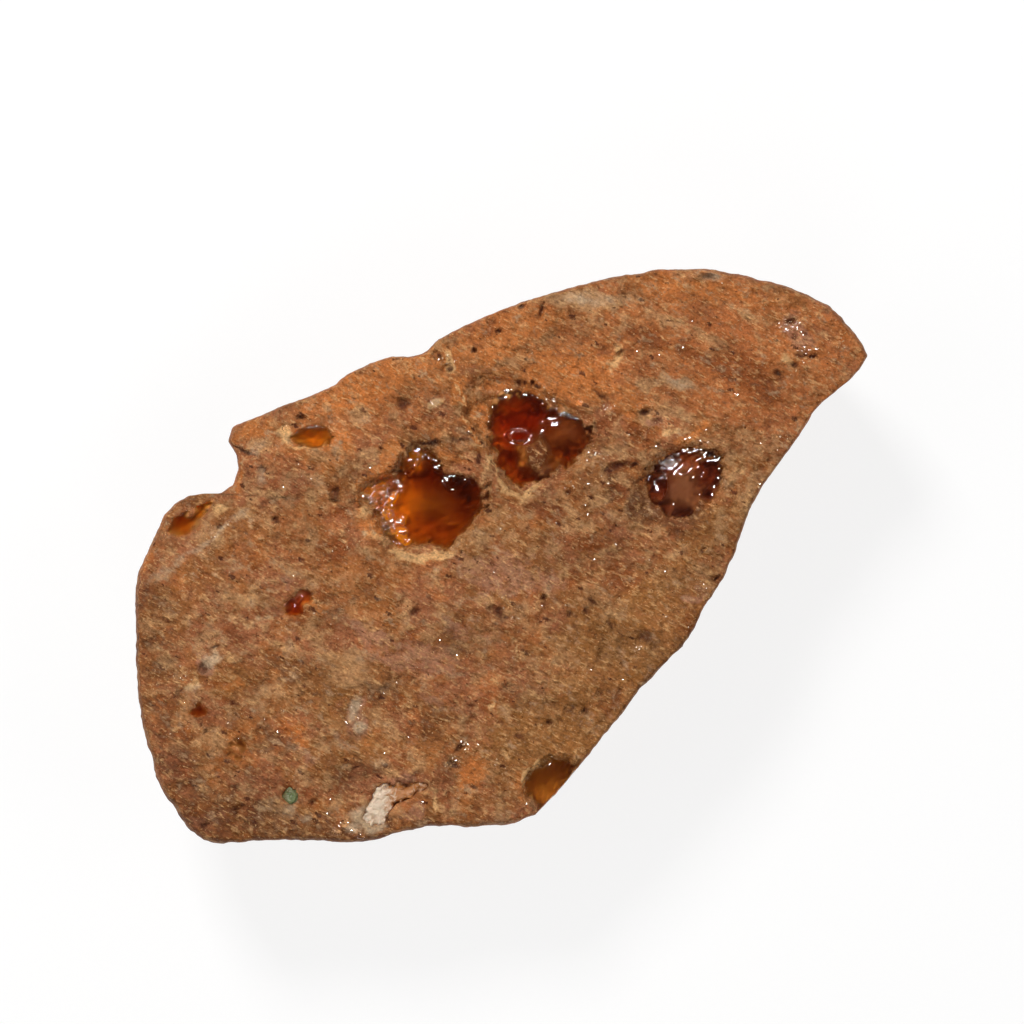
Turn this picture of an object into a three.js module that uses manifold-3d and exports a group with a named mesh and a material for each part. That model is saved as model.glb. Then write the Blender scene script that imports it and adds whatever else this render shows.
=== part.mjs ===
// Opal in matrix: a hand-sized piece of pinkish-tan rhyolite, ground on its upper face, with nodules of
// opal in the gas pockets where they formed. Millimetres, +Z up. The stone lies on its sawn back, and the
// origin is on that back, under the middle of the stone's box.

import * as THREE from "three";
import { mergeVertices } from "three/addons/utils/BufferGeometryUtils.js";
import Module from "manifold-3d";

const wasm = await Module();
wasm.setup();

// Stone: its height, and the worn edges of the ground face and of the back. The shares are of the reach
// from the stone's middle to its outline.
const THICKNESS = 13;
const FACE_CROWN = 0.3; // the middle of the face stands this far above its edge
const EDGE_SHARE = 0.07;
const EDGE_DROP = 1.7;
const EDGE_STEPS = 3; // facets of the worn edge's quarter round
const WAIST_SHARE = 0.965; // half-way down, the sides have drawn in to this
const BACK_SHARE = 0.9;
const BACK_EDGE_SHARE = 0.03;
const BACK_EDGE_RISE = 0.7;
const STONE_COLUMNS = 132;
const STONE_MIDDLE = [1.8, 2.8];

// Outline of the stone from above, anticlockwise from its pointed end, with the step in its left shoulder.
const STONE_OUTLINE = [
  [22.9, 12.5], [22.2, 13.7], [20.6, 15.5], [18.6, 16.5], [15.2, 17.5], [11.8, 18.0], [7.5, 17.5],
  [1.1, 15.8], [-3.9, 13.6], [-5.4, 12.5], [-7.1, 12.4], [-9.4, 11.5], [-10.8, 10.5], [-15.2, 8.8],
  [-17.0, 8.0], [-17.2, 7.1], [-16.6, 6.1], [-16.8, 4.5], [-17.6, 3.9], [-19.5, 3.8], [-21.0, 2.8],
  [-21.8, 1.1], [-22.8, -1.2], [-22.9, -4.7], [-22.7, -9.3], [-21.5, -14.2], [-20.5, -15.8],
  [-18.8, -17.8], [-13.6, -17.8], [-8.5, -17.9], [-4.8, -17.0], [-1.4, -17.0], [1.6, -16.5], [3.1, -15.2],
  [9.4, -7.6], [11.6, -5.3], [12.6, -3.4], [14.1, -1.0], [15.7, 3.3], [18.4, 7.2], [20.0, 9.5], [21.8, 11.0],
];

// Pockets: the room left between a nodule and the rock, and how far a cutter stands out of the face.
const POCKET_GAP = 0.3;
const CUTTER_RISE = 2;
const POCKET_FLARE = 0.06; // the wall leans out by this share on its way up

// Basins: the broken hollows that lead down to the three large nodules.
const BASINS = [
  {
    centre: [-4.8, 3.4],
    depth: 1.1,
    outline: [
      [-0.8, 4.7], [-1.6, 6.7], [-3.4, 7.3], [-5.6, 7.0], [-6.4, 5.8], [-8.6, 5.0], [-9.2, 3.7],
      [-8.8, 2.2], [-7.4, 0.0], [-4.7, -0.3], [-1.9, 0.6], [-0.6, 2.7],
    ],
  },
  {
    centre: [1.9, 7.3],
    depth: 1.2,
    outline: [
      [6.2, 8.1], [5.5, 9.2], [2.7, 10.3], [0.2, 10.9], [-1.8, 11.3], [-2.4, 9.2], [-1.3, 7.0],
      [-0.9, 5.6], [0.4, 3.9], [1.4, 3.6], [4.5, 5.3], [6.0, 6.8],
    ],
  },
  {
    centre: [11.3, 4.5],
    depth: 0.8,
    outline: [
      [14.1, 5.5], [13.8, 6.5], [12.8, 7.0], [11.4, 7.1], [10.1, 6.6], [8.6, 5.3], [8.4, 3.7],
      [9.2, 2.4], [10.6, 1.9], [12.0, 2.3], [13.6, 3.2],
    ],
  },
];

// Finishes: the ground rock, and the body colours of the opals, seen through a glassy skin.
const ROCK = "#936541";
const ROCK_ROUGHNESS = 0.75;
const OPAL_ROUGHNESS = 0.15;
const AMBER = "#8a3c08";
const BROWN_RED = "#64240a";
const PLUM = "#5d301f";
const HONEY = "#b0640f";
const RED = "#8f2a0c";
const MILK = "#d2bda4";
const SEA_GREEN = "#7d8a63";

// Nodules: recess is how far the rim lies under the face, depth goes from the rim down to the bottom, and
// dome from the rim up to the top of the skin.
const NODULES = [
  {
    name: "amber_opal",
    finish: AMBER,
    centre: [-4.8, 3.4],
    recess: 1.0,
    depth: 3.4,
    dome: 0.3,
    outline: [
      [-1.0, 4.3], [-2.0, 4.8], [-3.5, 5.3], [-4.2, 6.3], [-5.2, 6.8], [-6.1, 6.2], [-6.5, 5.2],
      [-8.7, 4.2], [-8.7, 3.3], [-7.8, 2.6], [-6.8, 0.5], [-5.0, 0.8], [-3.6, 0.3], [-2.6, 1.3], [-1.5, 2.6],
    ],
  },
  {
    name: "red_opal",
    finish: BROWN_RED,
    centre: [1.9, 7.3],
    recess: 0.9,
    depth: 3.6,
    dome: 0.35,
    outline: [
      [5.8, 8.0], [4.5, 8.6], [3.2, 9.2], [1.8, 10.0], [0.0, 10.3], [-0.7, 8.8], [-0.9, 7.8], [-0.6, 6.8],
      [-0.1, 5.2], [0.6, 4.5], [1.4, 4.2], [2.6, 4.8], [3.9, 5.3], [5.1, 6.6],
    ],
  },
  {
    name: "plum_opal",
    finish: PLUM,
    centre: [11.3, 4.5],
    recess: 0.8,
    depth: 2.6,
    dome: 0.5,
    outline: [
      [13.7, 5.3], [13.6, 6.2], [12.8, 6.6], [11.5, 6.7], [10.5, 6.3], [9.0, 5.1], [9.1, 3.8], [9.6, 2.9],
      [10.5, 2.4], [11.5, 2.4], [13.2, 3.3],
    ],
  },
  {
    name: "honey_opal",
    finish: HONEY,
    centre: [-11.8, 7.4],
    recess: 0.4,
    depth: 1.2,
    dome: 0.25,
    outline: [
      [-10.4, 7.3], [-11.3, 8.0], [-12.4, 7.9], [-13.2, 7.4], [-12.9, 7.0], [-12.0, 6.7], [-11.0, 6.8],
    ],
  },
  {
    name: "red_bead_opal",
    finish: RED,
    centre: [-12.7, -3.0],
    recess: 0.4,
    depth: 1.2,
    dome: 0.25,
    outline: [
      [-11.8, -2.7], [-11.9, -2.2], [-12.6, -2.2], [-13.1, -2.7], [-13.6, -3.0], [-13.4, -3.8],
      [-12.7, -3.8], [-12.3, -3.3],
    ],
  },
  {
    name: "shoulder_opal",
    finish: HONEY,
    centre: [-19.7, 2.2],
    recess: 0.6,
    depth: 2.0,
    dome: 0.6,
    outline: [
      [-18.0, 3.5], [-18.9, 3.1], [-19.8, 2.6], [-20.9, 2.1], [-21.5, 1.2], [-20.4, 1.1], [-19.5, 1.4],
      [-18.9, 2.2], [-18.4, 2.9],
    ],
  },
  {
    name: "corner_opal",
    finish: HONEY,
    centre: [2.9, -14.2],
    recess: 0.5,
    depth: 3.0,
    dome: 0.3,
    outline: [
      [5.0, -13.4], [3.1, -12.7], [2.2, -13.3], [1.6, -13.9], [1.4, -14.5], [1.7, -15.3], [2.2, -15.8],
      [3.4, -16.0], [4.4, -14.8],
    ],
  },
  {
    name: "milky_opal",
    finish: MILK,
    centre: [-7.4, -15.3],
    recess: 0.5,
    depth: 1.6,
    dome: 0.3,
    outline: [
      [-4.6, -14.3], [-5.8, -14.2], [-7.8, -14.5], [-8.2, -15.5], [-8.8, -16.2], [-8.3, -16.7],
      [-7.4, -16.9], [-7.2, -16.2], [-6.9, -15.6], [-5.4, -15.0],
    ],
  },
  {
    name: "green_opal",
    finish: SEA_GREEN,
    centre: [-13.2, -15.0],
    recess: 0.4,
    depth: 0.8,
    dome: 0.2,
    outline: [[-12.7, -15.0], [-13.2, -14.4], [-13.7, -15.0], [-13.2, -15.6]],
  },
  {
    name: "red_chip_opal",
    finish: RED,
    centre: [-19.1, -9.6],
    recess: 0.4,
    depth: 0.9,
    dome: 0.2,
    outline: [[-18.4, -9.8], [-19.0, -9.1], [-19.8, -9.1], [-19.6, -9.8], [-18.9, -10.1]],
  },
  {
    name: "brown_bead_opal",
    finish: AMBER,
    centre: [-16.6, -12.1],
    recess: 0.4,
    depth: 0.9,
    dome: 0.2,
    outline: [[-16.0, -12.0], [-16.4, -11.4], [-17.1, -11.7], [-17.0, -12.5], [-16.4, -12.8]],
  },
];
const NODULE_COLUMNS_PER_MM = 1.3; // columns for each millimetre of a nodule's girth
const FEWEST_COLUMNS = 12;
const NODULE_STEPS = 4; // rings in each half of a nodule's side profile
const SAME_POINT = 1e-4; // corners closer than this are one

// The smooth closed curve through an outline's corners.
function smoothCurve(corners) {
  const points = corners.map(([x, y]) => new THREE.Vector3(x, y, 0));
  return new THREE.CatmullRomCurve3(points, true, "centripetal");
}

// Evenly spaced points round a nodule or a basin, more of them on a longer girth.
function roundedRim(corners) {
  const curve = smoothCurve(corners);
  const columns = Math.round(curve.getLength() * NODULE_COLUMNS_PER_MM);
  return curve.getSpacedPoints(Math.max(FEWEST_COLUMNS, columns));
}

// A closed body whose plan is an outline round a centre and whose side is a profile of [share of the reach
// to the outline, height] from its lowest point on the axis to its highest. It is a lathe whose columns
// are drawn out to the outline's points.
function outlinedBody(rim, centre, profile) {
  const turned = profile.map(([share, height]) => new THREE.Vector2(share, height));
  const geometry = new THREE.LatheGeometry(turned, rim.length - 1);
  const position = geometry.getAttribute("position");
  rim.forEach((corner, column) => {
    profile.forEach(([share, height], ring) => {
      const x = centre[0] + share * (corner.x - centre[0]);
      const y = centre[1] + share * (corner.y - centre[1]);
      position.setXYZ(column * profile.length + ring, x, y, height);
    });
  });
  geometry.deleteAttribute("normal");
  geometry.deleteAttribute("uv");
  return mergeVertices(geometry, SAME_POINT);
}

// The outline moved away from its centre by the same distance all round.
function grown(rim, centre, distance) {
  const middle = new THREE.Vector3(centre[0], centre[1], 0);
  return rim.map((corner) => {
    const reach = corner.clone().sub(middle);
    return corner.clone().addScaledVector(reach.normalize(), distance);
  });
}

// Points of a quarter ellipse, from its foot on the axis out to its widest point: width 1, and height drop.
function bowlArc(level, drop) {
  return Array.from({ length: NODULE_STEPS }, (_, step) => {
    const angle = (step / NODULE_STEPS) * (Math.PI / 2);
    return [Math.sin(angle), level - drop * Math.cos(angle)];
  });
}

function asSolid(geometry) {
  return new wasm.Manifold(
    new wasm.Mesh({
      numProp: 3,
      vertProperties: new Float32Array(geometry.getAttribute("position").array),
      triVerts: new Uint32Array(geometry.index.array),
    }),
  );
}

function asGeometry(solid) {
  const mesh = solid.getMesh();
  const geometry = new THREE.BufferGeometry();
  geometry.setAttribute("position", new THREE.BufferAttribute(mesh.vertProperties, 3));
  geometry.setIndex(new THREE.BufferAttribute(mesh.triVerts, 1));
  geometry.computeVertexNormals();
  return geometry;
}

// The stone before its pockets are cut: flat back, worn back edge, sides that lean in towards the back,
// worn upper edge and a slightly crowned face.
function stoneBlank() {
  const edgeLevel = THICKNESS - FACE_CROWN;
  const faceShare = 1 - EDGE_SHARE;
  const wornEdge = Array.from({ length: EDGE_STEPS + 1 }, (_, step) => {
    const angle = (step / EDGE_STEPS) * (Math.PI / 2);
    return [faceShare + EDGE_SHARE * Math.cos(angle), edgeLevel - EDGE_DROP * (1 - Math.sin(angle))];
  });
  const profile = [
    [0, 0],
    [(BACK_SHARE - BACK_EDGE_SHARE) / 2, 0],
    [BACK_SHARE - BACK_EDGE_SHARE, 0],
    [BACK_SHARE, BACK_EDGE_RISE],
    [WAIST_SHARE, THICKNESS / 2],
    ...wornEdge,
    [faceShare / 2, THICKNESS - FACE_CROWN / 4],
    [0, THICKNESS],
  ];
  const rim = smoothCurve(STONE_OUTLINE).getSpacedPoints(STONE_COLUMNS);
  return asSolid(outlinedBody(rim, STONE_MIDDLE, profile));
}

function noduleBody({ outline, centre, recess, depth, dome }) {
  const level = THICKNESS - recess;
  const skin = bowlArc(level, -dome).reverse();
  const profile = [...bowlArc(level, depth), [1, level], ...skin];
  return asSolid(outlinedBody(roundedRim(outline), centre, profile));
}

// The cutter that opens a nodule's pocket up to the face.
function pocketCutter({ outline, centre, recess, depth }) {
  const level = THICKNESS - recess;
  const top = THICKNESS + CUTTER_RISE;
  const profile = [...bowlArc(level, depth + POCKET_GAP), [1, level], [1 + POCKET_FLARE, top], [0, top]];
  return asSolid(outlinedBody(grown(roundedRim(outline), centre, POCKET_GAP), centre, profile));
}

// The cutter for the broken hollow round a large nodule: a shallow bowl under the face.
function basinCutter({ outline, centre, depth }) {
  const top = THICKNESS + CUTTER_RISE;
  const profile = [...bowlArc(THICKNESS, depth), [1, THICKNESS], [1 + POCKET_FLARE, top], [0, top]];
  return asSolid(outlinedBody(roundedRim(outline), centre, profile));
}

function rhyoliteMatrix(blank) {
  const cutters = [...BASINS.map(basinCutter), ...NODULES.map(pocketCutter)];
  const solid = cutters.reduce((stone, cutter) => stone.subtract(cutter), blank);
  return named("rhyolite_matrix", solid, { color: ROCK, roughness: ROCK_ROUGHNESS, metalness: 0 });
}

// A nodule at the stone's edge was worn down with the rock, so each is kept inside the blank.
function opal(nodule, blank) {
  const glassy = { color: nodule.finish, roughness: OPAL_ROUGHNESS, metalness: 0 };
  return named(nodule.name, noduleBody(nodule).intersect(blank), glassy);
}

function named(name, solid, finish) {
  const mesh = new THREE.Mesh(asGeometry(solid), new THREE.MeshStandardMaterial(finish));
  mesh.name = name;
  return mesh;
}

const blank = stoneBlank();
const specimen = new THREE.Group();
specimen.add(rhyoliteMatrix(blank), ...NODULES.map((nodule) => opal(nodule, blank)));

const middle = new THREE.Box3().setFromObject(specimen).getCenter(new THREE.Vector3());
specimen.position.set(-middle.x, -middle.y, 0);

export default specimen;
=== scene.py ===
"""Opal in matrix: a hand-sized piece of rhyolite, ground on its face, with nodules of opal in its gas
pockets.

The file is laid out as an add-on and run as a script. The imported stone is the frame: outlines, levels and
depths of the stone and of each nodule are measured from its nodes. Tables and functions work in
millimetres, with X to the right and Y up on the ground face and Z out of it, and a mesh is put into metres
when it is made.
"""

import math
from collections import namedtuple

import bpy
import numpy as np
from bpy.props import FloatProperty, FloatVectorProperty, IntProperty, PointerProperty
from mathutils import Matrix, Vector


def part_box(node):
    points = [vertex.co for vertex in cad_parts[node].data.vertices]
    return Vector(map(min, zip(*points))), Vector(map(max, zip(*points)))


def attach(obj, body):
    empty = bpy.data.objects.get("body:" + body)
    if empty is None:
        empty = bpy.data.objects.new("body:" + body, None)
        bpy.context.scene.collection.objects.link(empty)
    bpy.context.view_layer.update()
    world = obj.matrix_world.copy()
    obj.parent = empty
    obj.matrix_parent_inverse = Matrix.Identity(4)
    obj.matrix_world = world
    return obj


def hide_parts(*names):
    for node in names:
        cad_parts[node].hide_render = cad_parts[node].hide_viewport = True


bl_info = {
    "name": "Opal in matrix",
    "version": (1, 0, 0),
    "blender": (4, 5, 0),
    "location": "3D View > Sidebar > Specimen",
    "description": "Builds a ground piece of rhyolite with opal nodules round its packed frame",
    "category": "Add Mesh",
}

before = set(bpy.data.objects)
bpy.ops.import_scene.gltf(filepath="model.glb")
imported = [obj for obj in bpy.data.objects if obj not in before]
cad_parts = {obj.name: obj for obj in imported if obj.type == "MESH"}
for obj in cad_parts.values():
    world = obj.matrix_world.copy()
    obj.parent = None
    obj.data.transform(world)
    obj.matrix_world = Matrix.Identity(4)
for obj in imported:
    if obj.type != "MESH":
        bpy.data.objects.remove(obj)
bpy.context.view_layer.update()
MM = 0.001

# Stone: where its outline is measured from, and its worn edge as a share of the reach to the outline.
STONE = "rhyolite_matrix"
STONE_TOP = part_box(STONE)[1].z / MM
STONE_MIDDLE = np.array([1.8, 2.8])
EDGE_SHARE = 0.022
EDGE_POWER = 2.6
FACE_CROWN = 0.3
RIM_STEPS = 1600
RIM_WEAR = 0.16
EDGE_RINGS = 12
WALL_ROWS = 27
WALL_POWER = 1.15
BACK_RING = 0.55
# Mean reach from which a nodule counts as large, with a full dome.
LARGE_REACH = 2.0
# Height of the skins over the rims of the CAD nodules, up the walls of their pockets.
LARGE_LIFT = 0.25
SMALL_LIFT = 0.14
# Width of the rock's teeth over the rims of the nodules.
LARGE_TEETH = 0.8
SMALL_TEETH = 0.4
# How far the nodules reach into the rock round them, the least gap between skin and bowl, how far the bowl
# goes below its CAD node, and the squares along each side of their grids.
NODULE_OVERLAP = 0.3
BOWL_GAP = 0.02
BOWL_SINK = 0.1
LARGE_CELLS = 160
SMALL_CELLS = 48
# Part of a nodule's surroundings that counts as its pocket, and the cover of opal that makes it a floor.
POCKET_SHARE = 1.05
FLOOR_COVER = 0.15
# Marks: how far their outlines are bent, and the half width of their borders as a share of their size.
STAIN_BEND = 0.55
DARK_BEND = 0.3
CHALK_BEND = 0.2
STAIN_SOFT = 0.7
MARK_SOFT = 0.6
FLOOR_SOFT = 0.9

# Shelves: broken hollows that lead down to the large nodules, each an outline round a centre. Rim is the
# share of the reach over which a shelf comes up to the face, and ripple the height of the lines along its
# lower lip.
Shelf = namedtuple("Shelf", "centre depth rim ripple outline")
SHELVES = (
    Shelf(
        (-4.8, 3.4), 0.6, 0.2, 0.0,
        (
            (-0.8, 4.6), (-1.2, 5.9), (-1.6, 6.6), (-2.6, 7.1), (-3.5, 7.25), (-4.7, 7.05), (-5.8, 7.0),
            (-6.6, 6.1), (-7.2, 5.2), (-8.9, 4.7), (-9.1, 3.6), (-8.4, 2.5), (-7.5, 0.6), (-5.6, 0.0),
            (-3.6, -0.1), (-2.2, 0.7), (-0.9, 2.8),
        ),
    ),
    Shelf(
        (1.9, 7.3), 0.75, 0.14, 0.05,
        (
            (6.1, 7.9), (5.9, 8.8), (4.6, 9.4), (2.9, 10.2), (1.2, 10.9), (-1.6, 11.3), (-2.2, 10.4),
            (-2.5, 9.3), (-2.1, 8.0), (-1.3, 7.0), (-0.9, 5.7), (-0.3, 4.5), (0.6, 3.7), (1.4, 3.5),
            (2.3, 3.7), (2.9, 4.5), (4.4, 5.1), (5.5, 6.3),
        ),
    ),
    Shelf(
        (11.3, 4.5), 0.6, 0.3, 0.0,
        (
            (14.1, 4.9), (14.0, 6.3), (13.2, 6.9), (11.6, 7.2), (10.0, 6.7), (8.9, 5.8), (8.3, 4.8),
            (8.2, 3.7), (8.7, 2.6), (9.8, 1.9), (11.2, 1.7), (12.6, 2.2), (13.8, 3.3),
        ),
    ),
)

# Stains and mineral patches on the face, with painted highlights among the cream and orange ones: x, y,
# half length, half width, angle in degrees, strength.
PALE_PATCHES = (
    (5.4, 16.0, 3.0, 0.55, -3, 1.0), (7.5, 14.4, 0.9, 0.5, 20, 0.7), (10.6, 14.4, 1.9, 0.5, -22, 0.8),
    (13.2, 13.2, 1.4, 0.5, -42, 0.9), (15.2, 15.0, 1.4, 0.4, -25, 0.6), (11.0, 10.8, 1.2, 0.4, -12, 1.0),
    (9.2, 10.7, 1.1, 0.35, -8, 0.9), (10.9, 8.8, 1.4, 0.55, -25, 0.8), (9.1, 8.5, 0.7, 0.5, -30, 0.9),
    (8.7, 6.3, 0.35, 0.3, 0, 0.8), (14.2, 5.4, 1.3, 0.5, 95, 0.7), (15.6, 4.2, 1.5, 0.6, 70, 0.6),
    (6.2, 3.6, 0.9, 0.6, 10, 0.7), (1.7, 2.7, 0.9, 0.4, 20, 0.7), (4.6, 1.7, 1.3, 0.5, -15, 0.7),
    (-15.2, 6.7, 0.6, 0.45, 30, 0.8), (-8.2, 6.4, 0.5, 0.45, 0, 0.8), (-9.0, 8.8, 0.9, 0.4, 70, 0.9),
    (-10.8, 9.3, 0.4, 0.35, 0, 0.7), (-14.8, 3.9, 0.9, 0.5, 20, 0.9), (-16.2, 2.9, 0.6, 0.35, 30, 0.7),
    (-11.8, 0.9, 0.9, 0.35, 80, 0.7), (-8.7, 0.4, 0.8, 0.3, -30, 0.9), (-9.2, -6.0, 0.7, 0.35, -20, 1.0),
    (-5.5, -6.3, 0.6, 0.25, -35, 1.0), (-21.0, -6.7, 0.7, 0.5, -50, 0.8),
    (-13.9, -15.7, 1.0, 0.7, -30, 0.9), (-11.2, -11.9, 0.8, 0.35, -40, 0.9),
    (0.3, -10.0, 0.7, 0.25, -45, 0.7), (-10.9, 6.2, 1.2, 0.5, 10, 0.5), (-12.9, -1.0, 1.6, 0.5, -30, 0.5),
    (3.8, -6.4, 1.5, 0.9, -20, 0.45), (11.0, 0.3, 0.9, 0.6, 40, 0.6), (-1.6, 1.2, 1.6, 0.7, 15, 0.5),
    (-3.7, -1.6, 1.5, 0.5, -25, 0.45), (0.6, 12.0, 1.2, 0.5, 10, 0.6), (-9.8, -7.0, 2.0, 1.0, -25, 0.75),
    (-13.5, -5.6, 1.6, 0.5, -25, 0.6), (-16.0, -2.6, 1.8, 0.7, -20, 0.6), (-14.4, -8.6, 1.0, 0.5, -20, 0.6),
    (-17.6, -11.6, 1.0, 0.5, -20, 0.6), (-6.9, -10.8, 1.0, 0.6, -40, 0.6),
    (-5.0, -12.6, 0.9, 0.5, -50, 0.5), (7.0, 6.9, 0.7, 0.5, 20, 0.7), (13.6, 1.9, 1.3, 0.6, 70, 0.6),
    (8.9, 1.6, 1.5, 0.5, -10, 0.6), (6.4, -3.0, 1.6, 0.6, -20, 0.45), (-13.0, 4.8, 1.4, 0.5, 15, 0.6),
)
# Among the cream patches are painted highlights. One is the band along the amber's lower rim, where its lip
# faces the light. The others are the two thin strokes on the lit ridge left of the red opal, at (-2.5, 9.9)
# and (-2.0, 7.7).
CREAM_AND_HIGHLIGHT_PATCHES = (
    (-6.0, 0.1, 1.0, 0.22, -3, 1.0), (-3.9, 0.1, 0.9, 0.22, 5, 1.0), (-4.3, 9.5, 0.45, 0.38, 60, 1.0),
    (-3.4, 12.2, 0.7, 0.42, 80, 0.9), (-19.3, -8.0, 0.5, 0.3, 0, 0.9), (-17.3, -6.3, 0.6, 0.4, 0, 0.6),
    (12.5, 8.5, 0.75, 0.16, -60, 0.6), (10.6, 7.7, 0.7, 0.12, 30, 0.6), (7.0, 12.3, 0.8, 0.4, 80, 0.8),
    (-13.6, 7.9, 0.5, 0.22, 30, 1.0), (-12.4, 6.5, 0.9, 0.15, -5, 0.7), (0.0, 4.5, 0.7, 0.2, -52, 0.8),
    (1.0, 3.75, 0.8, 0.2, -8, 0.9), (2.2, 4.0, 0.6, 0.2, 35, 0.8), (1.4, -13.9, 0.9, 0.13, 80, 1.0),
    (2.0, -12.9, 0.45, 0.14, 50, 0.9), (-0.9, -9.5, 0.35, 0.1, 60, 1.0), (0.9, -5.9, 0.5, 0.1, 85, 0.7),
    (-17.2, 2.9, 0.5, 0.4, -50, 0.8), (-8.4, -16.4, 0.6, 0.5, 0, 0.8), (-3.9, -15.2, 0.6, 0.2, -60, 0.7),
    (0.2, -12.4, 0.7, 0.3, -55, 0.6), (-16.3, -4.1, 0.9, 0.2, -30, 0.4), (18.0, 12.0, 0.8, 0.3, -60, 0.6),
    (-13.3, 7.45, 0.8, 0.4, 10, 0.9), (-17.6, 3.0, 0.35, 0.5, 30, 0.9), (-2.5, 9.9, 0.9, 0.12, -68, 0.9),
    (-2.0, 7.7, 0.9, 0.1, -58, 0.8), (-5.4, -0.1, 1.6, 0.3, 0, 0.8), (-0.6, 5.6, 1.3, 0.1, -55, 0.8),
    (-0.3, 5.1, 1.2, 0.08, -52, 0.7), (-8.4, 2.9, 0.35, 0.5, 20, 0.7), (-7.6, 0.9, 0.7, 0.25, -40, 0.8),
)
CHALK_PATCHES = (
    (-8.5, -16.3, 0.8, 0.6, -30, 1.0), (-7.9, -17.0, 0.7, 0.35, 0, 0.9), (-9.2, -17.0, 0.5, 0.3, 0, 0.8),
    (-21.2, -1.3, 1.0, 0.34, 35, 0.45), (-20.2, -0.45, 0.9, 0.28, 42, 0.45),
    (-18.9, 0.5, 1.1, 0.17, 30, 0.45), (-17.5, 1.5, 0.9, 0.12, 45, 0.6), (-16.3, 2.6, 0.6, 0.24, 40, 0.55),
    (-15.3, 6.5, 0.45, 0.3, 60, 0.5), (-9.1, -9.4, 0.8, 0.3, 80, 0.9), (-8.9, -10.7, 0.4, 0.3, 60, 0.9),
    (-18.0, -6.5, 0.6, 0.4, 30, 0.85), (12.9, 17.3, 0.9, 0.35, -10, 0.5), (-19.3, -8.2, 0.5, 0.3, 0, 0.6),
    (-15.1, 5.0, 0.25, 0.6, 0, 0.5), (-10.0, -11.6, 0.9, 0.25, -40, 0.5), (-13.2, -15.9, 0.6, 0.4, 0, 0.45),
    (-12.4, -16.3, 0.5, 0.3, 0, 0.45), (11.0, 10.8, 1.2, 0.3, -12, 0.45), (5.4, 16.0, 2.4, 0.4, -3, 0.45),
    (-4.3, 9.5, 0.4, 0.3, 60, 0.6),
)
ORANGE_PATCHES = (
    (3.6, 11.2, 3.4, 1.8, 0, 0.8), (5.3, 10.8, 1.3, 0.6, 70, 0.9), (-1.0, 13.4, 5.5, 1.5, 26, 0.7),
    (-8.0, 10.7, 4.5, 1.2, 22, 0.7), (12.0, 16.6, 5.5, 0.9, -5, 0.6), (19.5, 13.5, 3.5, 2.4, -20, 0.3),
    (-21.0, 2.5, 1.8, 1.0, 40, 0.5), (-22.0, -0.3, 1.0, 0.5, 60, 0.7), (-1.8, -13.5, 0.9, 1.0, 0, 0.9),
    (-7.0, 6.2, 0.9, 0.7, 30, 0.85), (-8.4, 2.2, 0.7, 0.5, 0, 0.85), (-2.8, 10.4, 1.0, 0.5, 80, 0.9),
    (11.8, 7.5, 1.0, 0.4, 20, 0.9), (-15.5, 7.9, 1.5, 0.7, 20, 0.75), (7.6, 9.4, 1.4, 1.0, -60, 0.7),
    (-16.6, 4.9, 0.4, 1.2, 0, 0.8), (1.2, -14.6, 0.6, 1.2, 20, 0.6), (8.4, 4.6, 0.5, 0.9, 20, 0.7),
    # The second and third marks of this row are painted highlight on the lit ridge left of the red opal.
    (12.3, -3.2, 0.4, 0.6, 0, 0.6), (-2.5, 9.9, 1.0, 0.3, -68, 1.0), (-2.0, 7.6, 0.9, 0.3, -55, 0.9),
    (-10.3, 7.0, 1.1, 0.5, -12, 0.9), (-12.0, 6.6, 1.4, 0.3, 5, 0.7), (-11.5, -3.1, 0.9, 0.5, -10, 0.8),
    (-16.7, -8.1, 0.9, 0.5, 20, 0.7), (-15.4, -11.4, 0.6, 0.5, 0, 0.6), (2.2, 6.4, 0.9, 0.8, 0, 0.4),
    (-8.7, 3.6, 0.5, 1.1, 20, 0.9), (-7.6, 5.3, 1.1, 0.45, 30, 0.9), (-1.3, 8.8, 0.6, 1.4, 10, 0.7),
    (-13.2, -10.7, 0.9, 0.5, -10, 0.7), (-12.5, -11.6, 0.6, 0.4, 0, 0.7), (-5.8, -5.3, 0.6, 0.45, 0, 0.8),
    (-2.9, 6.1, 1.0, 0.5, -20, 0.5), (-0.4, 10.6, 1.0, 0.4, -5, 0.7), (-7.7, 1.7, 0.8, 0.8, 0, 0.9),
)
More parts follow.
